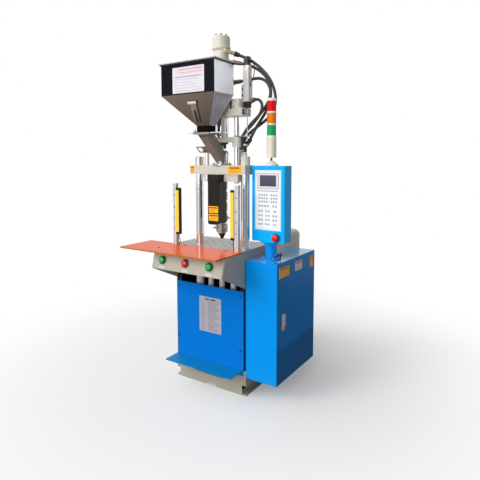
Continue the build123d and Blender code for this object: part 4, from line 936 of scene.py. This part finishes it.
def keypad_marks():
    """Printed caps of the membrane keys, groups of two to four on each raised pad."""
    pad = Extent("keypad_panel")
    left, top = pad.left - 0.0005, pad.top + 0.0005
    key_ground, grey, blue, green, rose = 0, 1, 2, 3, 4
    upper = ((20, 85, 4, blue), (98, 145, 3, grey))     # from, to, number of keys, ink
    lower = ((20, 53, 2, grey), (65, 98, 2, blue))
    rows = [(139, upper), (157, upper), (176, upper),
            (200, ((20, 92, 4, grey), (110, 145, 2, green))),
            (229, (*lower, (116, 139, 1, grey))), (254, (*lower, (110, 145, 2, grey))),
            (278, (*lower, (110, 145, 2, grey))), (302, (*lower, (110, 145, 1, rose)))]
    piece = Piece()
    for depth, groups in rows:
        for start, end, count, ink in groups:
            pitch = (end - start) / count
            for step in range(count):
                x = left + (start + (step + 0.5) * pitch) / 1000
                place = facing((x, pad.front, top - depth / 1000), FRONT)
                piece.add(slab((pitch * 0.00076, 0.0105, 0.0003), corner=0.0012), place,
                          key_ground)
                piece.add(slab((pitch * 0.00060, 0.0036, 0.0004)),
                          shifted(place, 0, 0.0026, 0), ink)
                piece.add(slab((pitch * 0.00042, 0.0036, 0.0004)),
                          shifted(place, pitch * 0.00006, -0.0024, 0), ink)
    for step in range(13):
        place = facing((left + 0.021 + step * 0.0102, pad.front + 0.0008, top - 0.116), FRONT)
        piece.add(slab((0.0068, 0.0045, 0.0004)), place, grey)
    piece.build("keypad_marks", "control_head", "keypad_white", key_film, grey_ink, blue_ink,
                green_ink, rose_ink)


def keypad_border():
    """Thin printed line round the membrane, as four strips."""
    pad = Extent("keypad_panel")
    y = pad.front + 0.0008
    inset = 0.005
    width = pad.right - pad.left - 2 * inset
    height = pad.top - pad.low - 2 * inset
    piece = Piece()
    for side in (-1, 1):
        piece.add(slab((0.0012, height, 0.0003)),
                  facing((pad.x + side * width / 2, y, pad.z), FRONT))
        piece.add(slab((width, 0.0012, 0.0003)),
                  facing((pad.x, y, pad.z + side * height / 2), FRONT))
    piece.build("keypad_border", "control_head", "keypad_white", grey_film)


def domed_cap(radius, base, top, stem_radius=0.011, stem=-0.018):
    """A push button's domed head on its stem, along its own Z."""
    side = base + (top - base) * 0.4
    outline = [(0, top)]
    for step in range(1, 10):
        angle = step * pi / 18
        outline.append((radius * sin(angle), side + (top - side) * cos(angle)))
    outline += [(radius, base), (stem_radius, base), (stem_radius, stem), (0, stem)]
    return turned(outline, 48)


def button_heads():
    """Glossy domed heads in place of the plain ones, with a pale bezel ring on each collar."""
    green = ("button_green", green_plastic)
    red = ("button_red", red_plastic)
    for node, body, (slot, finish) in (("start_button_left", "left_start", green),
                                       ("stop_button", "stop", red),
                                       ("start_button_right", "right_start", green)):
        place = facing((Extent(node).x, CONSOLE_POINT[1], CONSOLE_POINT[2]), CONSOLE_OUT)
        cap = single(domed_cap(0.020, 0.008, 0.022), place, node + "_head", body, slot, finish)
        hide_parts(node)
        bezel = turned([(0.0241, 0), (0.0262, 0), (0.0262, 0.001), (0.0255, 0.0022),
                        (0.0241, 0.0022), (0.0241, 0)], 48)
        single(bezel, place, node + "_bezel", "base", "aluminium", anodised)
    head = Extent("estop_button")
    mushroom = single(domed_cap(0.020, 0, 0.016, stem=-0.031),
                      facing((head.x, -0.293, head.z), FRONT), "estop_button_head",
                      "emergency_button", "button_red", red_plastic)
    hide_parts("estop_button")


def estop_ring():
    """Black ring on the stop button's collar, wide enough for the head to pass when pushed."""
    head = Extent("estop_button")
    collar_front = -0.2881
    ring = turned([(0.0208, 0), (0.0245, 0), (0.0245, 0.0015), (0.0230, 0.003), (0.0208, 0.003),
                   (0.0208, 0)], 36)
    single(ring, facing((head.x, collar_front, head.z), FRONT), "estop_ring", "control_head",
           "black_plastic", black_plastic)


def tower_lens_stack():
    """Three ribbed lenses in place of the plain rings."""
    lenses = Extent("tower_lenses")
    height = 0.057
    pitch = 0.066
    radius = (lenses.right - lenses.left) / 2
    piece = Piece()
    for level in range(3):
        low = lenses.low + level * pitch
        outline = [(radius - 0.003, 0), (radius - 0.0006, 0)]
        ribs = 12
        for rib in range(ribs):
            z = height * (rib + 0.5) / ribs
            outline += [(radius - 0.0006, z - height * 0.3 / ribs), (radius, z),
                        (radius - 0.0006, z + height * 0.3 / ribs)]
        outline += [(radius - 0.0006, height), (radius - 0.003, height), (radius - 0.003, 0)]
        piece.add(turned(outline, 48), upward((lenses.x, lenses.y, low)), level)
    made = piece.build("tower_lens_stack", "control_head", "lens", green_lens, orange_lens,
                       red_lens)
    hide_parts("tower_lenses")


def post_bolts():
    """Four screws in the swivel post's flange."""
    post = Extent("swivel_post")
    circle = 0.044
    angles = [radians(45 + step * 90) for step in range(4)]
    places = [upward((post.x + circle * cos(angle), post.y + circle * sin(angle), post.low + 0.008))
              for angle in angles]
    screws("post_flange_screws", "base", socket_screw, (0.013, 0.008), places, shaft_steel)


keypad_marks()
keypad_border()
button_heads()
estop_ring()
tower_lens_stack()
post_bolts()


# Base and console

def panel_screws():
    panel = Extent("front_panel")
    places = [facing((x, panel.front, z), FRONT)
              for x in (panel.left + 0.016, panel.right - 0.022) for z in (0.587, 0.2705)]
    screws("panel_screws", "base", pan_screw, (0.013,), places, dark_steel)


def shelf_shadow_strip():
    """Black strip under part of the shelf's front edge, put there as a painted shadow of the gap
    beneath it.
    """
    shelf = Extent("step_shelf")
    single(slab((0.205, 0.007, 0.004), edge=0.001, corner=0.002, centred=True),
           Matrix.Translation((0.095, shelf.front + 0.005, shelf.top - 0.0062)),
           "shelf_shadow_strip", "base", "black_plastic", black_plastic)


def shelf_screws():
    places = [facing((x, -0.353, 0.128), FRONT) for x in (-0.19, -0.06, 0.06, 0.19)]
    screws("shelf_screws", "base", pan_screw, (0.011,), places, dark_steel)


def table_screws():
    top = Extent("work_table").top
    places = [upward((x, y, top))
              for x, y in ((-0.240, -0.516), (-0.150, -0.390), (0.150, -0.390))]
    screws("table_screws", "base", pan_screw, (0.010,), places, dark_steel)


def post_screws():
    """Small screws that hold the curtain units, seen on the post fronts, and the end caps."""
    posts = Extent("curtain_posts")
    piece = Piece()
    for x in (-0.233, 0.218):
        for z in (0.950, 1.012, 1.075, 1.150):
            piece.add(pan_screw(0.007), facing((x, posts.front, z), FRONT))
        piece.add(slab((0.022, 0.022, 0.002), edge=0.0008, corner=0.002),
                  upward((x, posts.y, posts.top)), 1)
    piece.build("curtain_post_trim", "base", "aluminium", dark_steel, white_plastic)


panel_screws()
shelf_shadow_strip()
shelf_screws()
table_screws()
post_screws()


# Injection unit

def head_block_screws():
    """Cap screws on the head block's end and front."""
    block = Extent("top_block")
    piece = Piece()
    end = 0.221
    for z in (1.633, 1.6185):
        piece.add(socket_screw(0.011, 0.006), facing((end, -0.318, z), RIGHT))
    for x in (block.left + 0.020, block.left + 0.062):
        piece.add(socket_screw(0.011, 0.005), facing((x, block.front, 1.628), FRONT))
    piece.build("head_block_screws", "platen", "steel", dark_steel)


def head_block_slot():
    """Black key slot and oil hole on the front of the head block, flat films whose black is painted
    shade of the recesses.
    """
    block = Extent("top_block")
    piece = Piece()
    piece.add(slab((0.011, 0.040, 0.001), corner=0.0035),
              facing((0.151, block.front, 1.664), FRONT))
    piece.add(turned([(0, 0), (0.004, 0), (0.004, 0.001), (0, 0.001)], 20),
              facing((0.1675, block.front, 1.653), FRONT))
    piece.build("head_block_slot", "platen", "black_plastic", black_ink)


def under_crosshead():
    """Black limit switch under the bridge, in front of the stem."""
    bridge = Extent("crosshead")
    piece = Piece()
    piece.add(slab((0.050, 0.014, 0.010), edge=0.001, corner=0.002, centred=True),
              Matrix.Translation((0.083, bridge.front + 0.002, bridge.top - 0.0362)))
    piece.add(slab((0.014, 0.014, 0.026), edge=0.001, corner=0.002, centred=True),
              Matrix.Translation((0.088, bridge.front + 0.002, bridge.top - 0.0532)))
    piece.build("limit_switch", "injection_ram", "black_plastic", black_plastic)


def transducer_screws():
    unit = Extent("transducer")
    piece = Piece()
    for x, z in ((0.192, 1.757), (0.192, 1.720)):
        piece.add(socket_screw(0.012, 0.007), facing((x, unit.rear - 0.0342, z), FRONT))
    for z in (1.6665, 1.904):
        for x in (unit.right - 0.030, unit.right - 0.006):
            piece.add(pan_screw(0.006), facing((x, unit.front, z), FRONT))
    piece.build("transducer_screws", "platen", "steel", dark_steel)
    plug = turned([(0, 0), (0.0075, 0), (0.0075, 0.010), (0.005, 0.013), (0.004, 0.020),
                   (0, 0.020)], 24)
    single(plug, facing((unit.right - 0.003, BARREL_Y, 1.905), RIGHT), "sensor_plug", "platen",
           "black_plastic", black_plastic)


def heater_terminals():
    """Clamp ears, porcelain studs and nuts on the two lowest heater bands."""
    bands = Extent("heater_bands")
    piece = Piece()
    for angle, z in ((200, bands.low + 0.020), (-22, bands.low + 0.034), (250, bands.low + 0.030),
                     (160, bands.low + 0.083), (20, bands.low + 0.083)):
        out = Vector((cos(radians(angle)), sin(radians(angle)), 0))
        root = Vector((BARREL_X, BARREL_Y, z)) + out * 0.033
        piece.add(slab((0.012, 0.020, 0.002), edge=0.0005, corner=0.002),
                  facing(root, out))
        piece.add(turned([(0, 0), (0.0065, 0), (0.0065, 0.008), (0.0045, 0.010), (0.0045, 0.015),
                          (0, 0.015)], 20), facing(root + out * 0.002, out), 1)
        piece.add(prism(0.007, 0.003), facing(root + out * 0.0165, out))
        piece.add(turned([(0, 0), (0.002, 0), (0.002, 0.008), (0, 0.008)], 12),
                  facing(root + out * 0.0165, out))
    piece.build("heater_terminals", "platen", "stainless", ear_sheet, porcelain)


def tapered_nozzle():
    """The nozzle with its long cone, in place of the stepped one."""
    node = Extent("nozzle")
    tip, body, bore, seat = 0.007, 0.023, 0.002, 0.0125
    low, high = node.low, node.top
    cone = turned([(bore, low), (tip, low), (tip + 0.001, low + 0.003), (body, low + 0.033),
                   (body, high), (seat, high), (bore, low + 0.020), (bore, low)], 40)
    made = single(cone, upward((node.x, node.y, 0)), "tapered_nozzle", "platen", "steel",
                  dark_steel)
    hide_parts("nozzle")


def guide_stud():
    """The short stud beside the chute, with its two nuts."""
    rod = Piece()
    rod.add(turned([(0, 0), (0.0075, 0), (0.0075, 0.088), (0.006, 0.090), (0, 0.090)], 24),
            upward((-0.058, -0.290, 1.329)))
    for z in (1.3295, 1.402):
        rod.add(prism(0.022, 0.008), upward((-0.058, -0.290, z)), 1)
    rod.build("guide_stud", "platen", "chrome", chrome, shaft_steel)


def motor_trim():
    """Rolled bead round the cowl's seam."""
    radius, seam = 0.105, 0.853
    ring = turned([(radius - 0.0003, -0.003), (radius + 0.0013, -0.002), (radius + 0.0013, 0.002),
                   (radius - 0.0003, 0.003), (radius - 0.001, 0), (radius - 0.0003, -0.003)], 64)
    single(ring, upward((0.190, 0.235, seam)), "motor_seam", "base", "motor_paint", motor_paint)


def hopper_trim():
    """Sight strip with its dark slot, top clamp and a thin black painted shadow line along its
    right edge, and the rivets along the lid's edge.
    """
    slope = Vector((0, 0.068, -0.168)).normalized()
    outward = Vector((0, slope.z, -slope.y))
    fold = Vector((0.022, hopper_box.front, HOPPER_FOLD))
    middle = fold + slope * 0.104
    piece = Piece()
    place = facing(middle + outward * 0.0026, outward)
    piece.add(slab((0.042, 0.112, 0.0012), edge=0.0004, corner=0.002), place)
    piece.add(slab((0.017, 0.066, 0.0006), corner=0.007),
              shifted(place, 0.001, -0.020, 0.0012), 1)
    # Thin black strip along the right edge: a painted shadow line.
    piece.add(slab((0.0026, 0.106, 0.0008)),
              shifted(place, 0.0205, -0.003, 0.0010), 1)
    piece.add(slab((0.058, 0.015, 0.0015), edge=0.0004, corner=0.002),
              shifted(place, -0.002, 0.056, 0.0056), 2)
    piece.build("sight_strip", "platen", "screen_grey", strip_sheet, black_ink, anodised)
    front = Extent("hopper_lid").front
    places = [facing((-0.168 + step * 0.056, front, hopper_box.top - 0.005), FRONT)
              for step in range(7)]
    screws("lid_rivets", "platen", pan_screw, (0.007,), places, dark_steel, "stainless")


head_block_screws()
head_block_slot()
under_crosshead()
transducer_screws()
heater_terminals()
tapered_nozzle()
guide_stud()
motor_trim()
hopper_trim()


# Cabinet

def lock_trim():
    """Red pivot button of the swing handle."""
    lock = Extent("door_lock")
    single(turned([(0, 0), (0.010, 0), (0.010, 0.003), (0.008, 0.0045), (0, 0.0045)], 24),
           facing((lock.right - 0.0002, lock.y, 0.436), RIGHT), "lock_pivot", "door_handle",
           "button_red", red_plastic)


lock_trim()


# Studio

BRIGHT_SIDE = (-0.80, 0.60, 0.0)    # where reflections are brightest, away from the camera
DARK_END, BRIGHT_END = -1.0, -0.45
MIRROR_DARK, MIRROR_BRIGHT = 0.30, 0.95


def studio_floor():
    """White to the camera, duller in bounced light, a dim near floor and a bright horizon in
    reflections."""
    shape = bmesh.new()
    bmesh.ops.create_grid(shape, x_segments=1, y_segments=1, size=30)
    mesh = bpy.data.meshes.new("studio_floor")
    shape.to_mesh(mesh)
    shape.free()
    finish = Finish("studio_floor", (0.9, 0.9, 0.9), 0.9, specular=0.0)
    seen = finish.ray("Camera")
    glossy = finish.ray("Glossy")
    finish.paint(finish.mix(seen, (0.4, 0.4, 0.4), (0.97, 0.97, 0.97)))
    away = finish.node("ShaderNodeVectorMath", {"operation": "LENGTH"}, {0: finish.place}, "Value")
    far = away.above(3.4, 1.4)
    heading = finish.node("ShaderNodeVectorMath", {"operation": "NORMALIZE"}, {0: finish.place})
    horizon = finish.ramp(finish.along(heading, BRIGHT_SIDE), DARK_END, BRIGHT_END,
                          MIRROR_DARK, MIRROR_BRIGHT)
    mirrored = finish.mix(far, (0.150, 0.115, 0.095), (1, 1, 1))
    white = finish.node("ShaderNodeEmission",
                        values={"Color": finish.mix(seen, mirrored, (1, 1, 1)),
                                "Strength": seen + (1 - seen) * (1 - far + far * horizon)})
    share = ((0.22 + 0.78 * away.above(1.4, 0.8)) * seen).or_more(glossy)
    blend = finish.node("ShaderNodeMixShader", values={0: share})
    shader = Wire(finish, finish.shader.outputs[0])
    finish.feed(blend.socket.node.inputs[1], shader)
    finish.feed(blend.socket.node.inputs[2], white)
    finish.feed(finish.tree.nodes["Material Output"].inputs["Surface"], blend)
    mesh.materials.append(finish.material)
    floor = bpy.data.objects.new("studio_floor", mesh)
    bpy.context.scene.collection.objects.link(floor)


class Sky(Finish):
    """The world's own nodes, built with the same helpers."""

    def __init__(self):
        self.world = bpy.data.worlds.new("studio")
        self.world.use_nodes = True
        self.tree = self.world.node_tree
        bpy.context.scene.world = self.world

    def toward(self, direction, dark, bright, low, high):
        """Brightness that rises from one side of the studio to the other."""
        where = self.node("ShaderNodeTexCoord", output="Generated")
        return self.ramp(self.along(where, direction), low, high, dark, bright)


def studio_sky():
    """White to the camera, a wide front-left softbox, and a dark room behind the camera."""
    sky = Sky()
    softbox = sky.toward((-0.58, -0.74, 0.34), 0.14, 1.25, -0.1, 0.9)
    mirrored = sky.toward(BRIGHT_SIDE, MIRROR_DARK, MIRROR_BRIGHT, DARK_END, BRIGHT_END)
    seen = sky.ray("Camera")
    glossy = (sky.ray("Glossy") + sky.ray("Transmission")).above(0.5, 0.1)
    level = softbox + glossy * (mirrored - softbox)
    level = level + seen * (1 - level)
    background = sky.tree.nodes["Background"]
    background.inputs["Color"].default_value = (1, 1, 1, 1)
    sky.feed(background.inputs["Strength"], level)


def lamps():
    """Soft key lamp from the front left, and a weaker one that reaches under the hopper."""
    for name, energy, angle, source in (("key_lamp", 1.15, 30, (-0.46, -0.74, 0.52)),
                                        ("fill_lamp", 0.80, 30, (0.16, -0.97, 0.18))):
        lamp = bpy.data.lights.new(name, "SUN")
        lamp.energy = energy
        lamp.angle = radians(angle)
        lamp.color = (1.0, 0.985, 0.96)
        made = bpy.data.objects.new(name, lamp)
        made.rotation_euler = Vector(source).to_track_quat("Z", "Y").to_euler()
        bpy.context.scene.collection.objects.link(made)


def studio():
    studio_floor()
    studio_sky()
    lamps()
    bpy.context.scene.view_settings.view_transform = "Standard"


studio()
